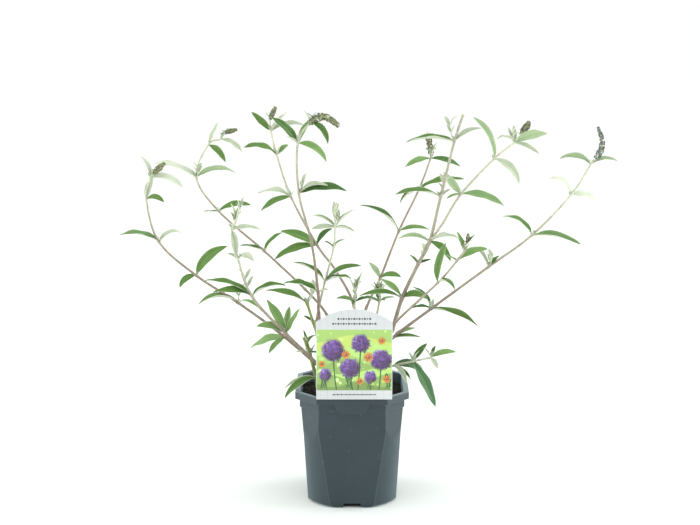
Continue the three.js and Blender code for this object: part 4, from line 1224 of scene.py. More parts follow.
def build_card(settings):
    board = Solid()
    add_board(board)
    add_tongue(board)
    board.build("card_board", [card_finish("card_white", tinted(settings.board))], "card_plastic",
                ("plant_card",), sharp=50.0)
    sheet = Print()
    draw = random_from(37)
    draw_meadow(sheet, draw)
    for globe in GLOBES:
        draw_globe(sheet, *globe, draw)
    for daisy in DAISIES:
        draw_daisy(sheet, *daisy)
    draw_leafage(sheet, draw)
    draw_white_strips(sheet)
    inks = [card_finish(f"ink_{ink}", tinted(getattr(settings, source), *mixed))
            for ink, (source, *mixed) in CARD_INKS.items()]
    sheet.build("card_print", inks, "card_plastic")


# ---- stems ----
CURVE_PARTS = 40  # stretches of a curve between two joints, for measuring it
TAKE_STEP = 4.0
YOUNG_TONES, GREEN_BARK, CUT_WOOD, PITH = 8, 8, 9, 10  # numbers of the bark finishes
WOOD_COLOUR, PITH_COLOUR = srgb(214, 206, 158), srgb(150, 128, 84)
CUT_SIDES = 14
# rings of a pruning cut: how far out, share of the stem's radius, finish from there on
CUT_RINGS = ((-0.3, 0.9, CUT_WOOD), (0.15, 0.86, CUT_WOOD), (0.2, 0.35, PITH), (0.12, 0.3, PITH))


class Stem:
    """Smooth curve through a shoot's joints, measured along its length."""

    def __init__(self, shoot, start):
        self.shoot = shoot
        self.joints = [np.array(start, float)]
        for row in shoot["nodes"]:
            self.joints.append(self.joints[-1] + direction(row[1], row[2]) * row[0])
        joints = np.array(self.joints)
        self.knots = np.vstack([2 * joints[0] - joints[1], joints, 2 * joints[-1] - joints[-2]])
        self.shares = np.linspace(0, 1, CURVE_PARTS * len(joints) + 1)
        steps = np.linalg.norm(np.diff(self.curve(self.shares), axis=0), axis=1)
        self.lengths = np.concatenate([[0.0], np.cumsum(steps)])
        self.length = self.lengths[-1]

    def curve(self, shares):
        place = np.asarray(shares) * (len(self.joints) - 1)
        number = np.minimum(place.astype(int), len(self.joints) - 2)
        w = (place - number)[:, None]
        p0, p1, p2, p3 = (self.knots[number + k] for k in range(4))
        t1 = (p2 - p0) / 2
        t2 = (p3 - p1) / 2
        return (p1 + t1 * w + (3 * p2 - 3 * p1 - 2 * t1 - t2) * w**2 + (2 * p1 - 2 * p2 + t1 + t2) * w**3)

    def at(self, joint):
        """Distance along the stem of a joint."""
        return self.lengths[round(joint / (len(self.joints) - 1) * (len(self.lengths) - 1))]

    def points(self, distances):
        return self.curve(np.interp(distances, self.lengths, self.shares))

    def tangents(self, distances):
        shares = np.interp(distances, self.lengths, self.shares)
        ahead = self.curve(np.minimum(shares + 1e-4, 1.0))
        back = self.curve(np.maximum(shares - 1e-4, 0.0))
        return (ahead - back) / np.linalg.norm(ahead - back, axis=1, keepdims=True)

    def radius(self, distance):
        foot, tip = self.shoot["thick"]
        return lerp(foot, tip, distance / self.length) / 2

    def pose(self, distance):
        """Place of the stem's middle at a distance, its way there, and two vectors across it."""
        side, across = ring_frames(self, [distance])[0]
        return self.points([distance])[0], self.tangents([distance])[0], side, across


def grow_stems():
    """The curve of every shoot, forks from their carrier's node."""
    stems = {}
    for shoot in SHOOTS:
        if "fork" in shoot:
            carrier, node = shoot["fork"]
            start = stems[carrier].joints[node + 1]
        else:
            start = (*shoot["foot"][:2], shoot["foot"][2] if len(shoot["foot"]) > 2 else SHOOT_START)
        stems[shoot["name"]] = Stem(shoot, start)
    return stems


def fork_clearance(stem, stems):
    """How far from its joint a forked shoot starts, to stand clear of the stem that carries it."""
    if "fork" not in stem.shoot:
        return 0.0
    name, node = stem.shoot["fork"]
    carrier = stems[name]
    return carrier.radius(carrier.at(node + 1)) + stem.radius(0.0)


def ring_frames(stem, distances):
    """Two vectors across the stem at each distance, carried along it without a twist."""
    side = np.array([0.0, 1.0, 0.0])
    frames = []
    for along in stem.tangents(distances):
        side = unit(side - along * side.dot(along))
        frames.append((side, np.cross(along, side)))
    return frames


def add_limb(solid, stem, settings):
    """Bark of one shoot with swollen nodes and lengthwise ridges."""
    end = spike_start(stem) + 2 if stem.shoot["spike"] else stem.length
    step = settings.ring_step / MM
    distances = np.linspace(0.0, end, max(4, round(end / step)) + 1)
    bark = stem.shoot["bark"]
    relief = settings.relief / MM
    rings = []
    marks = []
    middles = stem.points(distances)
    knots = np.array([stem.at(k) for k in range(len(stem.joints))])
    for number, (distance, middle, (side, across)) in enumerate(
            zip(distances, middles, ring_frames(stem, distances))):
        radius = stem.radius(distance)
        place = float(np.interp(distance, knots, np.arange(len(knots))))
        low = min(int(place), len(bark) - 2)
        tone = lerp(int(bark[low]), int(bark[low + 1]), place - low)
        woody = max(0.0, 1.0 - tone / 5)
        swell = sum(math.exp(-(((distance - knot) / (1.0 + radius)) ** 2)) for knot in knots[1:])
        ring = []
        for k in range(settings.sides):
            angle = 2 * math.pi * k / settings.sides
            cosine, sine = math.cos(angle), math.sin(angle)
            groove = noise.noise(Vector((cosine * 2.4, sine * 2.4, distance * 0.09 + radius)))
            fine = noise.noise(Vector((cosine * 5, sine * 5, distance * 0.5)))
            uneven = 0.8 + 0.25 * math.cos(2 * angle + number * 0.02)
            here = radius * (1 + settings.swelling * swell * uneven)
            here += relief * ((0.5 + woody) * groove + 0.5 * fine) + 0.035 * radius * math.cos(4 * angle)
            ring.append(middle + side * cosine * here + across * sine * here)
        rings.append(ring)
        marks.append([min(GREEN_BARK, round(tone))] * settings.sides)
    cut = stem.shoot["name"] in CUT_SHOOTS
    tip = middles[-1] + stem.tangents([end])[0] * (0.0 if cut else stem.radius(end) * 0.8)
    solid.skin(rings, marks, None, tip)
    if cut:
        add_cut_face(solid, stem, end)


def add_cut_face(solid, stem, end):
    """Sawn end: a pale disc of wood with a darker pith."""
    middle, along, side, across = stem.pose(end)
    rings = []
    marks = []
    for lift, share, finish in CUT_RINGS:
        rings.append(circle(middle + along * lift, side, across, stem.radius(end) * share, CUT_SIDES))
        marks.append([finish] * CUT_SIDES)
    solid.skin(rings, marks[:-1], None, middle + along * 0.1)


def bark_finishes(settings):
    """Bark tones 0 to 7 from woody to young, then green bark, cut wood and pith."""
    woody = settings.woody
    young = settings.young
    finishes = []
    for tone in range(YOUNG_TONES):
        share = tone / (YOUNG_TONES - 1)
        base = tuple(lerp(woody[k], young[k], share ** 1.2) for k in range(3)) + (1.0,)
        finishes.append(bark_finish(f"bark_{tone}", base, share))
    finishes.append(bark_finish("bark_green", tinted(settings.green), 0.2))
    finishes.append(bark_finish("wood_cut", WOOD_COLOUR, 0.0))
    finishes.append(bark_finish("wood_pith", PITH_COLOUR, 0.0))
    return finishes


def build_stems(settings):
    stems = grow_stems()
    finishes = bark_finishes(settings)
    for shoot in SHOOTS:
        name = shoot["name"]
        limb = Solid()
        add_limb(limb, stems[name], settings)
        limb.build(f"{name}_stem", finishes, "stem_bark", (f"{name}_bough",), sharp=60.0)


# ---- woody foot ----
FOOT_SIDES = 56
FOOT_ROWS = 22
FOOT_RELIEF = 1.6
FOOT_SUNK_BELOW, FOOT_SUNK = 158.0, 1.5  # its lowest rows are pressed into the compost
STUB_HEIGHT, STUB_AWAY, STUB_SIDES = 163.0, 13.0, 12
# stubs of old shoots: heading, radius, lean
STUBS = ((35, 3.4, 28), (118, 2.8, 34), (205, 3.0, 30), (290, 2.6, 24), (330, 3.2, 36))
STUB_RINGS = ((0, 1.3), (5, 1.05), (9, 1.0), (11, 1.0))


def build_foot(settings):
    """Knuckle of old wood under the shoots, lumpy and cracked, with the stubs of old shoots."""
    knuckle = Solid()
    places = np.linspace(0, len(FOOT_PROFILE) - 1, FOOT_ROWS)
    radii, levels = (np.interp(places, range(len(FOOT_PROFILE)), column) for column in zip(*FOOT_PROFILE))
    rings = []
    for radius, level in zip(radii, levels):
        ring = []
        for k in range(FOOT_SIDES):
            angle = 2 * math.pi * k / FOOT_SIDES
            spot = Vector((math.cos(angle) * 1.3, math.sin(angle) * 1.3, level * 0.12))
            lump = noise.noise(spot) + 0.4 * noise.noise(spot * 3.7)
            here = radius + FOOT_RELIEF * lump
            sunk = FOOT_SUNK if level < FOOT_SUNK_BELOW else 0.0
            ring.append(np.array([here * math.cos(angle), here * math.sin(angle), level - sunk]))
        rings.append(ring)
    knuckle.skin(rings, 0, None, on_axis(FOOT_PROFILE[-1][1] + 0.6))
    for heading, radius, lean in STUBS:
        along = direction(lean, heading)
        base = on_axis(STUB_HEIGHT) + direction(90, heading) * STUB_AWAY
        side = unit(np.cross(along, on_axis(1.0)))
        across = np.cross(along, side)
        stub = [circle(base + along * distance, side, across, radius * wider, STUB_SIDES)
                for distance, wider in STUB_RINGS]
        knuckle.skin(stub, 0, None, base + along * 11.1)
    knuckle.build("foot_wood", [bark_finish("foot_bark", tinted(settings.woody, 0.8), 0.0)], "stem_bark",
                  ("woody_foot",), sharp=60.0)


# ---- leaves ----
WIDE_COLUMNS = (-1.0, -0.9, -0.62, -0.32, -0.035, 0.035, 0.32, 0.62, 0.9, 1.0)
NARROW_COLUMNS = (-1.0, -0.55, -0.07, 0.07, 0.55, 1.0)
# skins of the leaves: name, roughness, felt, contrast of the mottling
LEAF_SKINS = (("green", 0.5, 0.0, 0.16), ("fresh", 0.52, 0.0, 0.16), ("light", 0.55, 0.1, 0.16),
              ("dark", 0.46, 0.0, 0.16), ("blue", 0.5, 0.0, 0.16), ("middle", 0.6, 0.15, 0.16),
              ("young", 0.75, 0.3, 0.08), ("downy", 0.85, 0.35, 0.06), ("felt", 0.85, 0.35, 0.08),
              ("rib", 0.6, 0.1, 0.08))
LEAF_NUMBERS = {name: number for number, (name, *_) in enumerate(LEAF_SKINS)}
# the two skins that a leaf of a tone may have
TONE_SKINS = {"g": ("green", "fresh"), "l": ("light", "fresh"), "d": ("dark", "dark"), "b": ("blue", "blue"),
              "m": ("middle", "middle"), "p": ("young", "young"), "w": ("downy", "downy")}
BLADE_WIDTH = 0.27
FOLD = (32.0, 60.0)  # degrees by which each half of a blade is folded up
WIDTHS = (0.88, 1.12)
CURL = (0.0, 0.16)  # how far the margins roll down, as a share of half the width
WAVE = (0.004, 0.02)  # height of the margin's waves, as a share of the length
WAVE_COUNT = (1.2, 2.8)
SICKLE = 0.05  # how far a tip may bend aside, as a share of the length
TURN_ON = 16.0  # degrees by which a blade may turn along its length
TOOTH_STEP, FEWEST_TEETH, MOST_TEETH = 3.6, 5, 21
TOOTHED = (0.12, 0.96)  # part of the length that has teeth
BASE_POWER, TIP_POWER, STALK_SHARE = 0.8, 0.98, 0.03
TWIG_SIDES = 7
SPROUT_THICK, SPROUT_PAIR, SPROUT_TOP = (2.0, 1.3), 0.55, 0.98  # side twig and the places of its leaf pairs
AXIL_THICK, AXIL_PAIRS = (1.3, 0.8), (0.35, 0.8, 1.0)
AXIL_CHANCE = 0.8


def outline_share(share):
    """Half-width of a lance-shaped blade along its length, 1 where it is widest."""
    along = np.clip((share - STALK_SHARE) / (1 - STALK_SHARE), 0, 1)
    widest = BASE_POWER / (BASE_POWER + TIP_POWER)
    most = widest**BASE_POWER * (1 - widest) ** TIP_POWER
    return along**BASE_POWER * (1 - along) ** TIP_POWER / most


def stoutness(size):
    """How much wider for its length a short leaf is than a long one."""
    return min(STOUTEST, (MIDDLE_LEAF / size) ** SLIMMING)


class Blade:
    """One leaf of the growing rule: its spine, and its half-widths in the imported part."""

    def __init__(self, base, heading, rise, size, bend, facing, tone="p", slim=1.0):
        self.heading, self.rise, self.size, self.bend = heading, rise, size, bend
        self.facing, self.tone, self.slim = facing, tone, slim
        steps = np.arange(SPINE_STEPS)
        elevations = np.radians(rise - bend * (steps + 0.5) / SPINE_STEPS)
        turn = math.radians(heading)
        runs = np.stack([np.cos(elevations) * math.cos(turn), np.cos(elevations) * math.sin(turn),
                         np.sin(elevations)], axis=1)
        self.spine = base + np.vstack([np.zeros(3), np.cumsum(runs, axis=0) * size / SPINE_STEPS])
        rows = (SHORT_BLADE if size < SMALL_LEAF else LONG_BLADE) + [(1.0, 0.0)]
        shares, wides = zip(*rows)
        half = size * LEAF_WIDTH * stoutness(size) / 2
        self.halves = np.interp(np.linspace(0, 1, SPINE_STEPS + 1), shares, wides) * half

    def add_to(self, solid, settings, draw):
        """Adds the blade as one thin closed skin with folded, waved and toothed sides."""
        size = self.size
        large = size >= SMALL_LEAF
        columns = WIDE_COLUMNS if large else NARROW_COLUMNS
        stations = 2 * max(FEWEST_TEETH, min(MOST_TEETH, round(size / TOOTH_STEP)))
        fold = math.radians(lerp(*FOLD, draw()) * math.cos(math.radians(self.facing)))
        half_width = size * BLADE_WIDTH / 2 * stoutness(size) * self.slim * lerp(*WIDTHS, draw())
        curl = lerp(*CURL, draw())
        wave = lerp(*WAVE, draw()) * size
        waves = lerp(*WAVE_COUNT, draw())
        shift = 2 * math.pi * draw()
        sickle = lerp(-SICKLE, SICKLE, draw()) * size
        turn_on = math.radians(lerp(-TURN_ON, TURN_ON, draw()))
        quilting = settings.quilting / MM * min(1.0, size / 50)
        thickness = settings.thickness / MM
        heading = math.radians(self.heading)
        level = np.array([-math.sin(heading), math.cos(heading), 0.0])
        veins = stations / 3.0
        rings = []
        for k in range(stations):
            share = k / stations
            spot = share * SPINE_STEPS
            low = min(int(spot), SPINE_STEPS - 1)
            middle = lerp(self.spine[low], self.spine[low + 1], spot - low)
            along = direction(90 - (self.rise - self.bend * share), self.heading)
            up = unit(np.cross(along, level))
            twist = math.radians(self.facing * math.cos(heading)) + turn_on * (share - 0.3)
            across = level * math.cos(twist) + up * math.sin(twist)
            normal = up * math.cos(twist) - level * math.sin(twist)
            middle = middle + across * sickle * share * share
            half = half_width * float(outline_share(share))
            stalk = math.exp(-((share / 0.09) ** 2))
            toothed = large and TOOTHED[0] < share < TOOTHED[1]
            tooth = settings.tooth * (1.0 if k % 2 else -0.3) * toothed
            wide = max(half * (1 + tooth), lerp(0.3, 0.75, min(1.0, size / 60)) * (1 - 0.6 * share))
            opening = fold * (1 - 0.2 * share)
            top = []
            bottom = []
            for v in columns:
                away = abs(v)
                phase = 2 * math.pi * waves * share + shift + (2.0 if v > 0 else 0.0)
                ripple = wave * away * away * math.sin(phase) * min(1.0, half / 4)
                puff = quilting * math.sin(math.pi * (share * veins - away * 1.5)) ** 2 * (1 - away**4)
                puff *= min(1.0, away * 5) * min(1.0, half / 3)
                lift = wide * away * math.sin(opening) - wide * curl * away**3 + ripple + puff
                top.append(middle + across * wide * v * math.cos(opening) + normal * (lift + 0.5 * stalk))
                rib = (0.22 + 0.008 * size) * (1 - share) * math.exp(-((v / 0.12) ** 2))
                bottom.append(top[-1] - normal * (thickness * (1 - 0.5 * away**2) + rib + 0.9 * stalk))
            rings.append(np.array(top[::-1] + bottom[1:-1]))
        tip_normal = unit(np.cross(along, level))
        point = self.spine[-1] + across * sickle - tip_normal * 0.1
        self.close(solid, rings, point, len(columns), large, draw)

    def close(self, solid, rings, point, count, large, draw):
        """Deals the finishes out, with felt on the underside and the margins, and adds the skin."""
        first, second = TONE_SKINS[self.tone]
        upper = [LEAF_NUMBERS[first if draw() < 0.6 else second]] * (count - 1)
        if large:
            upper[0] = upper[-1] = LEAF_NUMBERS["felt"]
        if large and self.tone not in "pw":
            upper[(count - 1) // 2] = LEAF_NUMBERS["rib"]
        strips = upper + [LEAF_NUMBERS["felt"]] * (count - 1)
        solid.skin(rings, [strips] * (len(rings) - 1), None, point)


class Space:
    """Places that shoots have taken, so that no leaf touches another shoot."""

    def __init__(self, stems):
        self.owners = []
        self.places = []
        self.radii = []
        for name, stem in stems.items():
            distances = np.arange(fork_clearance(stem, stems), stem.length, TAKE_STEP)
            self.take(name, stem.points(distances), [stem.radius(d) for d in distances])

    def take(self, owner, points, radii):
        self.owners.extend([owner] * len(points))
        self.places.extend(points)
        self.radii.extend(radii)

    def is_clear(self, owner, blade):
        others = np.array([name != owner for name in self.owners])
        places = np.array(self.places)[others]
        radii = np.array(self.radii)[others]
        for point, half in zip(blade.spine, blade.halves):
            if np.any(np.linalg.norm(places - point, axis=1) <= radii + half + LEAF_CLEAR):
                return False
        return True


def add_twig(solid, points, thick):
    """Thin round felted twig through a few points."""
    rings = []
    for k, point in enumerate(points):
        along = unit(points[min(k + 1, len(points) - 1)] - points[max(k - 1, 0)])
        side = unit(np.cross(along, np.array([0.31, 0.95, 0.05])))
        across = np.cross(along, side)
        radius = lerp(*thick, k / (len(points) - 1)) / 2
        rings.append(circle(point, side, across, radius, TWIG_SIDES))
    solid.skin(rings, LEAF_NUMBERS["young"])


def sprout_blades(stem, node, size, draw):
    """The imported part's short side twig: its points, and two pairs of young leaves."""
    heading = 360 * draw()
    rows = [(size * SPROUT_PAIR, 30, heading), (size * (1 - SPROUT_PAIR), 18, heading)]
    twig = Stem(dict(nodes=rows, thick=SPROUT_THICK), stem.joints[node + 1])
    blades = []
    for share in (SPROUT_PAIR, SPROUT_TOP):
        for half in (0, 180):
            toward = heading + 90 + half + 40 * (draw() - 0.5)
            base = twig.points([twig.length * share])[0]
            blades.append(Blade(base, toward, 62, 13 + 9 * draw(), 20, 40))
    return twig, blades


def axil_blades(stem, node, toward, size, draw):
    """Tiny pairs of leaves in the axil of a leaf, on a very short twig."""
    base = stem.joints[node + 1] + direction(80, toward) * stem.radius(stem.at(node + 1)) * 0.7
    tip = base + direction(32, toward) * size * 0.5
    blades = []
    for pair, place in enumerate(AXIL_PAIRS):
        for half in (0, 180):
            heading = toward + 90 * (pair + 1) + half + 30 * (draw() - 0.5)
            grown = size * lerp(1.0, 0.55, place) * lerp(0.75, 1.15, draw())
            rise = lerp(48, 78, draw())
            blades.append(Blade(lerp(base, tip, place), heading, rise, grown, 30 * draw(), 40))
    return (base, tip), blades


def grow_foliage(shoot, index, stem, space):
    """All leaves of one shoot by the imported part's rule, in its order of random draws."""
    draw = random_from(1000 + index)
    blades = []
    for number, (_, _, heading, tones, *leaves) in enumerate(shoot["nodes"]):
        base = stem.joints[number + 1]
        swing = lerp(*SWING, draw()) * (-1 if number % 2 == 0 else 1)
        pairs = []
        for tone, (toward, rise, size, *rest) in zip(tones, leaves):
            bend = rest[0] if rest else DROOP_BASE + DROOP_SHARE * rise
            pairs.append((toward + swing, rise, size / math.sqrt(math.cos(math.radians(swing))), bend, tone,
                          *rest[1:]))
        if leaves and draw() < TUFT_CHANCE:
            turn = heading + 60 * draw()
            pairs.append((turn, 66, 12 + 8 * draw(), 10, "p"))
            pairs.append((turn + 180, 66, 12 + 8 * draw(), 10, "p"))
        for toward, rise, size, bend, tone, *facing in pairs:
            drawn = lerp(*FACING, draw())
            blade = Blade(base, toward, rise, size, bend, facing[0] if facing else drawn, tone)
            if space.is_clear(shoot["name"], blade):
                blades.append(blade)
    twigs = []
    for node, size in shoot["sprout"]:
        twig, young = sprout_blades(stem, node, size, draw)
        twigs.append(twig.points(np.linspace(0, twig.length, 6)))
        blades.extend(blade for blade in young if space.is_clear(shoot["name"], blade))
    for blade in blades:
        space.take(shoot["name"], blade.spine, blade.halves)
    return blades, twigs


def grow_axils(shoot, stem, draw):
    """Finer growth: tiny shoots in most axils of the leafy nodes, larger towards the tip."""
    blades = []
    twigs = []
    for number, row in enumerate(shoot["nodes"]):
        share = (number + 1) / len(shoot["nodes"])
        for toward, *_ in row[4:6]:
            if draw() < AXIL_CHANCE:
                size = lerp(5.0, 9.5, share) * lerp(0.7, 1.3, draw())
                (base, tip), young = axil_blades(stem, number, toward + 25 * (draw() - 0.5), size, draw)
                blades.extend(young)
                twigs.append(np.array([base, lerp(base, tip, 0.5), tip]))
    return blades, twigs


def build_leaves(settings):
    stems = grow_stems()
    space = Space(stems)
    finishes = skin_finishes("leaf", LEAF_SKINS, settings)
    for index, shoot in enumerate(SHOOTS):
        stem = stems[shoot["name"]]
        blades, twigs = grow_foliage(shoot, index, stem, space)
        draw = random_from(5000 + index)
        fine_blades, fine_twigs = grow_axils(shoot, stem, draw)
        if shoot["spike"]:
            fine_blades.extend(grow_bracts(stem, draw))
        foliage = Solid()
        for points in twigs:
            add_twig(foliage, points, SPROUT_THICK)
        for points in fine_twigs:
            add_twig(foliage, points, AXIL_THICK)
        for blade in blades + fine_blades:
            blade.add_to(foliage, settings, draw)
        name = shoot["name"]
        foliage.build(f"{name}_foliage", finishes, "foliage", (f"{name}_leaves",), sharp=70.0)


# ---- flower buds ----
# skins of the buds: name, roughness, felt, contrast of the mottling
BUD_SKINS = (("dark", 0.8, 0.2, 0.25), ("olive", 0.8, 0.25, 0.25), ("grey", 0.8, 0.2, 0.25),
             ("stalk", 0.8, 0.0, 0.16))
DARK, OLIVE, GREY, STALK = range(len(BUD_SKINS))
BUD_TONES = (DARK, OLIVE, OLIVE, GREY)
BUD_SIDES = 6
BUD_RINGS = ((0.0, 0.5), (0.3, 0.95), (0.65, 1.0), (0.9, 0.6))
BUDS_IN_CLUSTER = 7
CLUSTER_SPREAD = 0.95
CORE_SHARE, LOOSE_CORE_SHARE = 0.6, 0.32  # thickness of the stalk as a share of the spike's
CORE_RINGS, CORE_SIDES = 14, 8
# loose spikes: tones of their buds, how far these stand from the stem at the foot and at the tip, and
# the share of the spike's length at which they end
OPEN_SPIKES = {"far_right": ((GREY, GREY, GREY, DARK), 6.2, 2.0, 1.0),
               "centre_right": ((DARK, DARK, DARK, OLIVE), 5.6, 7.0, 0.86),
               "tall_left_front": ((DARK, OLIVE, OLIVE, GREY), 6.6, 4.0, 1.0)}
OPEN_STEP = 3.7  # distance between the whorls of a loose spike
OPEN_COUNT = 4
BRACT_SLIM = 0.5
BRACT_PLACES = (-0.04, 0.16, 0.36)  # shares of the spike's length
USUALLY_DARK = 0.6  # share of dark bracts
BRACTS_DARK = {"centre_right": 1.0, "far_left": 0.0}


def spike_start(stem):
    """Distance along the stem at which its bud spike starts."""
    return stem.at(len(stem.joints) - 1 - stem.shoot.get("spike_nodes", 1))


def spike_radius(stem, share):
    """Radius of the spike's outline, blunt at both ends."""
    return stem.shoot["spike"] / 2 * math.sin(math.pi * lerp(*SPIKE_BULGE, share))


def add_bud(solid, base, along, long, wide, finish):
    """One closed bud: a small blunt egg."""
    side = unit(np.cross(along, np.array([0.21, 0.33, 0.92])))
    across = np.cross(along, side)
    rings = [circle(base + along * long * share, side, across, wide / 2 * wider, BUD_SIDES)
             for share, wider in BUD_RINGS]
    solid.skin(rings, finish, None, base + along * long)


def add_cluster(solid, middle, out, along, size, tones, settings, draw):
    """A knot of buds that points away from the spike: one in the middle and a ring of them round it."""
    across = unit(np.cross(along, out))
    spread = CLUSTER_SPREAD * min(1.0, size / 3.2)
    for k in range(BUDS_IN_CLUSTER):
        turn = 2 * math.pi * (k + 0.4 * draw()) / (BUDS_IN_CLUSTER - 1)
        side = (across * math.cos(turn) + along * math.sin(turn)) * min(1, k)
        long = settings.bud / MM * lerp(0.85, 1.15, draw()) * lerp(0.7, 1.0, min(1.0, size / 4))
        add_bud(solid, middle + side * spread - out * long * 0.45, unit(out + side * 0.6), long,
                long * lerp(0.6, 0.74, draw()), tones[int(draw() * len(tones))])


def add_spike_core(solid, stem, thickness):
    """The stalk inside a spike; thickness is a share of the spike's."""
    start = spike_start(stem)
    distances = np.linspace(start, stem.length, CORE_RINGS)
    frames = ring_frames(stem, distances)
    rings = []
    for distance, middle, (side, across) in zip(distances, stem.points(distances), frames):
        radius = spike_radius(stem, (distance - start) / (stem.length - start)) * thickness
        rings.append(circle(middle, side, across, radius, CORE_SIDES))
    solid.skin(rings, STALK)


def add_spike(solid, stem, settings, draw):
    """Blunt spike of closed buds: whorls of bud clusters round the end of a shoot."""
    start = spike_start(stem)
    add_spike_core(solid, stem, CORE_SHARE)
    whorls = round((stem.length - start) / (settings.whorl / MM))
    for number in range(whorls + 1):
        share = number / whorls
        middle, along, side, across = stem.pose(lerp(start + 1.0, stem.length - 1.2, share))
        size = spike_radius(stem, share)
        count = max(4, round(size * 1.15))
        for k in range(count):
            angle = 2 * math.pi * (k + 0.5 * (number % 2)) / count + 0.4 * (draw() - 0.5)
            out = side * math.cos(angle) + across * math.sin(angle)
            place = middle + out * size * lerp(0.66, 0.84, draw())
            add_cluster(solid, place, unit(out + along * lerp(0.1, 0.8, share)), along, size, BUD_TONES,
                        settings, draw)
    tip, along, side, _ = stem.pose(stem.length)
    add_cluster(solid, tip, along, side, spike_radius(stem, 1.0), BUD_TONES, settings, draw)


def add_loose_spike(solid, stem, settings, draw):
    """Slender spike whose bud clusters stand apart on the stalk and get smaller towards its tip."""
    start = spike_start(stem)
    add_spike_core(solid, stem, LOOSE_CORE_SHARE)
    tones, foot_reach, tip_reach, end_share = OPEN_SPIKES[stem.shoot["name"]]
    end = lerp(start, stem.length - 0.8, end_share)
    whorls = round((end - start) / OPEN_STEP)
    for number in range(whorls + 1):
        for k in range(OPEN_COUNT):
            share = min(1.0, max(0.0, (number + 0.6 * (draw() - 0.5)) / whorls))
            middle, along, side, across = stem.pose(lerp(start + 1.0, end, share))
            angle = 2 * math.pi * (k + 0.5 * (number % 2)) / OPEN_COUNT + 1.1 * (draw() - 0.5)
            out = side * math.cos(angle) + across * math.sin(angle)
            reach = lerp(foot_reach, tip_reach, share * share) * lerp(0.65, 1.0, draw())
            add_cluster(solid, middle + out * reach * 0.8, unit(out + along * lerp(0.3, 1.2, share)), along,
                        reach, tones, settings, draw)


def grow_bracts(stem, draw):
    """Narrow young leaves that stand out below and between the lower whorls of a spike."""
    start = spike_start(stem)
    run = stem.length - start
    blades = []
    dark = BRACTS_DARK.get(stem.shoot["name"], USUALLY_DARK)
    for number, share in enumerate(BRACT_PLACES):
        base = stem.points([start + run * share])[0]
        for half in (0, 180):
            heading = 70 + 90 * number + half + 40 * (draw() - 0.5)
            size = lerp(17.0, 6.0, number / 2) * lerp(0.7, 1.25, draw())
            rise, bend = lerp(20, 62, draw()), lerp(-20, 60, draw())
            tone = "d" if draw() < dark else "m"
            blades.append(Blade(base, heading, rise, size, bend, 30, tone, BRACT_SLIM))
    return blades


def build_buds(settings):
    stems = grow_stems()
    finishes = skin_finishes("bud", BUD_SKINS, settings)
    for index, shoot in enumerate(SHOOTS):
        if shoot["spike"]:
            spike = Solid()
            add = add_loose_spike if shoot["name"] in OPEN_SPIKES else add_spike
            add(spike, stems[shoot["name"]], settings, random_from(9000 + index))
            spike.build(f"{shoot['name']}_buds", finishes, "foliage", sharp=60.0)


# ---- operators and panel ----
class BushStage(bpy.types.Operator):
    """Sets up the camera, the pale floor and the soft lights"""

    bl_idname = "bush.stage"
    bl_label = "Stage"

    def execute(self, context):
        settings = context.scene.bush_stage
        add_camera()
        add_floor(settings.floor)
        add_world(settings.world)
        for name, place, width, power_name, part in LIGHTS:
            add_light(name, place, width, getattr(settings, power_name) * part)
        context.scene.view_settings.view_transform = "Standard"
        return {"FINISHED"}


class BushPot(bpy.types.Operator):
    """Moulds the nursery pot with its lip, card pocket and drain notches"""

    bl_idname = "bush.pot"
    bl_label = "Pot"

    def execute(self, context):
        build_pot(context.scene.bush_pot)
        return {"FINISHED"}


class BushCompost(bpy.types.Operator):
    """Fills the pot with compost, bark chips and fibres"""

    bl_idname = "bush.compost"
    bl_label = "Compost"

    def execute(self, context):
        build_compost(context.scene.bush_compost)
        return {"FINISHED"}


class BushCard(bpy.types.Operator):
    """Cuts the plant card and prints its meadow picture"""

    bl_idname = "bush.card"
    bl_label = "Plant card"

    def execute(self, context):
        build_card(context.scene.bush_card)
        return {"FINISHED"}


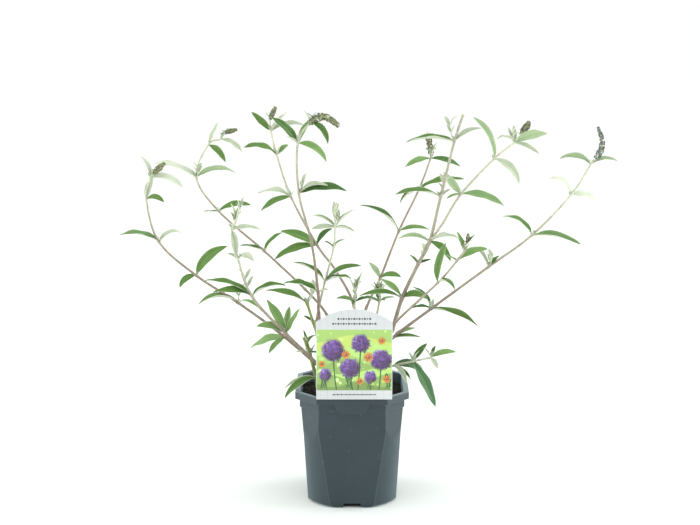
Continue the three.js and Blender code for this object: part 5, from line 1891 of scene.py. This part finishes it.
class BushStems(bpy.types.Operator):
    """Grows the woody foot and the stems with their bark"""

    bl_idname = "bush.stems"
    bl_label = "Stems"

    def execute(self, context):
        build_foot(context.scene.bush_stems)
        build_stems(context.scene.bush_stems)
        return {"FINISHED"}


class BushLeaves(bpy.types.Operator):
    """Grows the leaves and the young shoots in their axils"""

    bl_idname = "bush.leaves"
    bl_label = "Leaves"

    def execute(self, context):
        build_leaves(context.scene.bush_leaves)
        return {"FINISHED"}


class BushBuds(bpy.types.Operator):
    """Grows the spikes of closed flower buds"""

    bl_idname = "bush.buds"
    bl_label = "Flower buds"

    def execute(self, context):
        build_buds(context.scene.bush_buds)
        return {"FINISHED"}


SETTINGS = {
    "bush_stage": BushStageSettings,
    "bush_pot": BushPotSettings,
    "bush_compost": BushCompostSettings,
    "bush_card": BushCardSettings,
    "bush_stems": BushStemSettings,
    "bush_leaves": BushLeafSettings,
    "bush_buds": BushBudSettings,
}
OPERATORS = (BushStage, BushPot, BushCompost, BushCard, BushStems, BushLeaves, BushBuds)


class BushPanel(bpy.types.Panel):
    """Lists the pieces of the potted bush with their settings"""

    bl_idname = "VIEW3D_PT_butterfly_bush"
    bl_label = "Butterfly Bush"
    bl_space_type = "VIEW_3D"
    bl_region_type = "UI"
    bl_category = "Butterfly Bush"

    def draw(self, context):
        for operator, pointer in zip(OPERATORS, SETTINGS):
            box = self.layout.box()
            box.operator(operator.bl_idname)
            settings = getattr(context.scene, pointer)
            for name in SETTINGS[pointer].__annotations__:
                box.prop(settings, name)


def register():
    for item in (*SETTINGS.values(), *OPERATORS, BushPanel):
        bpy.utils.register_class(item)
    for pointer, group in SETTINGS.items():
        setattr(bpy.types.Scene, pointer, bpy.props.PointerProperty(type=group))


def unregister():
    for pointer in SETTINGS:
        delattr(bpy.types.Scene, pointer)
    for item in (BushPanel, *reversed(OPERATORS), *reversed(list(SETTINGS.values()))):
        bpy.utils.unregister_class(item)


def main():
    register()
    bpy.ops.bush.stage()
    bpy.ops.bush.pot()
    bpy.ops.bush.compost()
    bpy.ops.bush.card()
    bpy.ops.bush.stems()
    bpy.ops.bush.leaves()
    bpy.ops.bush.buds()


if __name__ == "__main__":
    main()
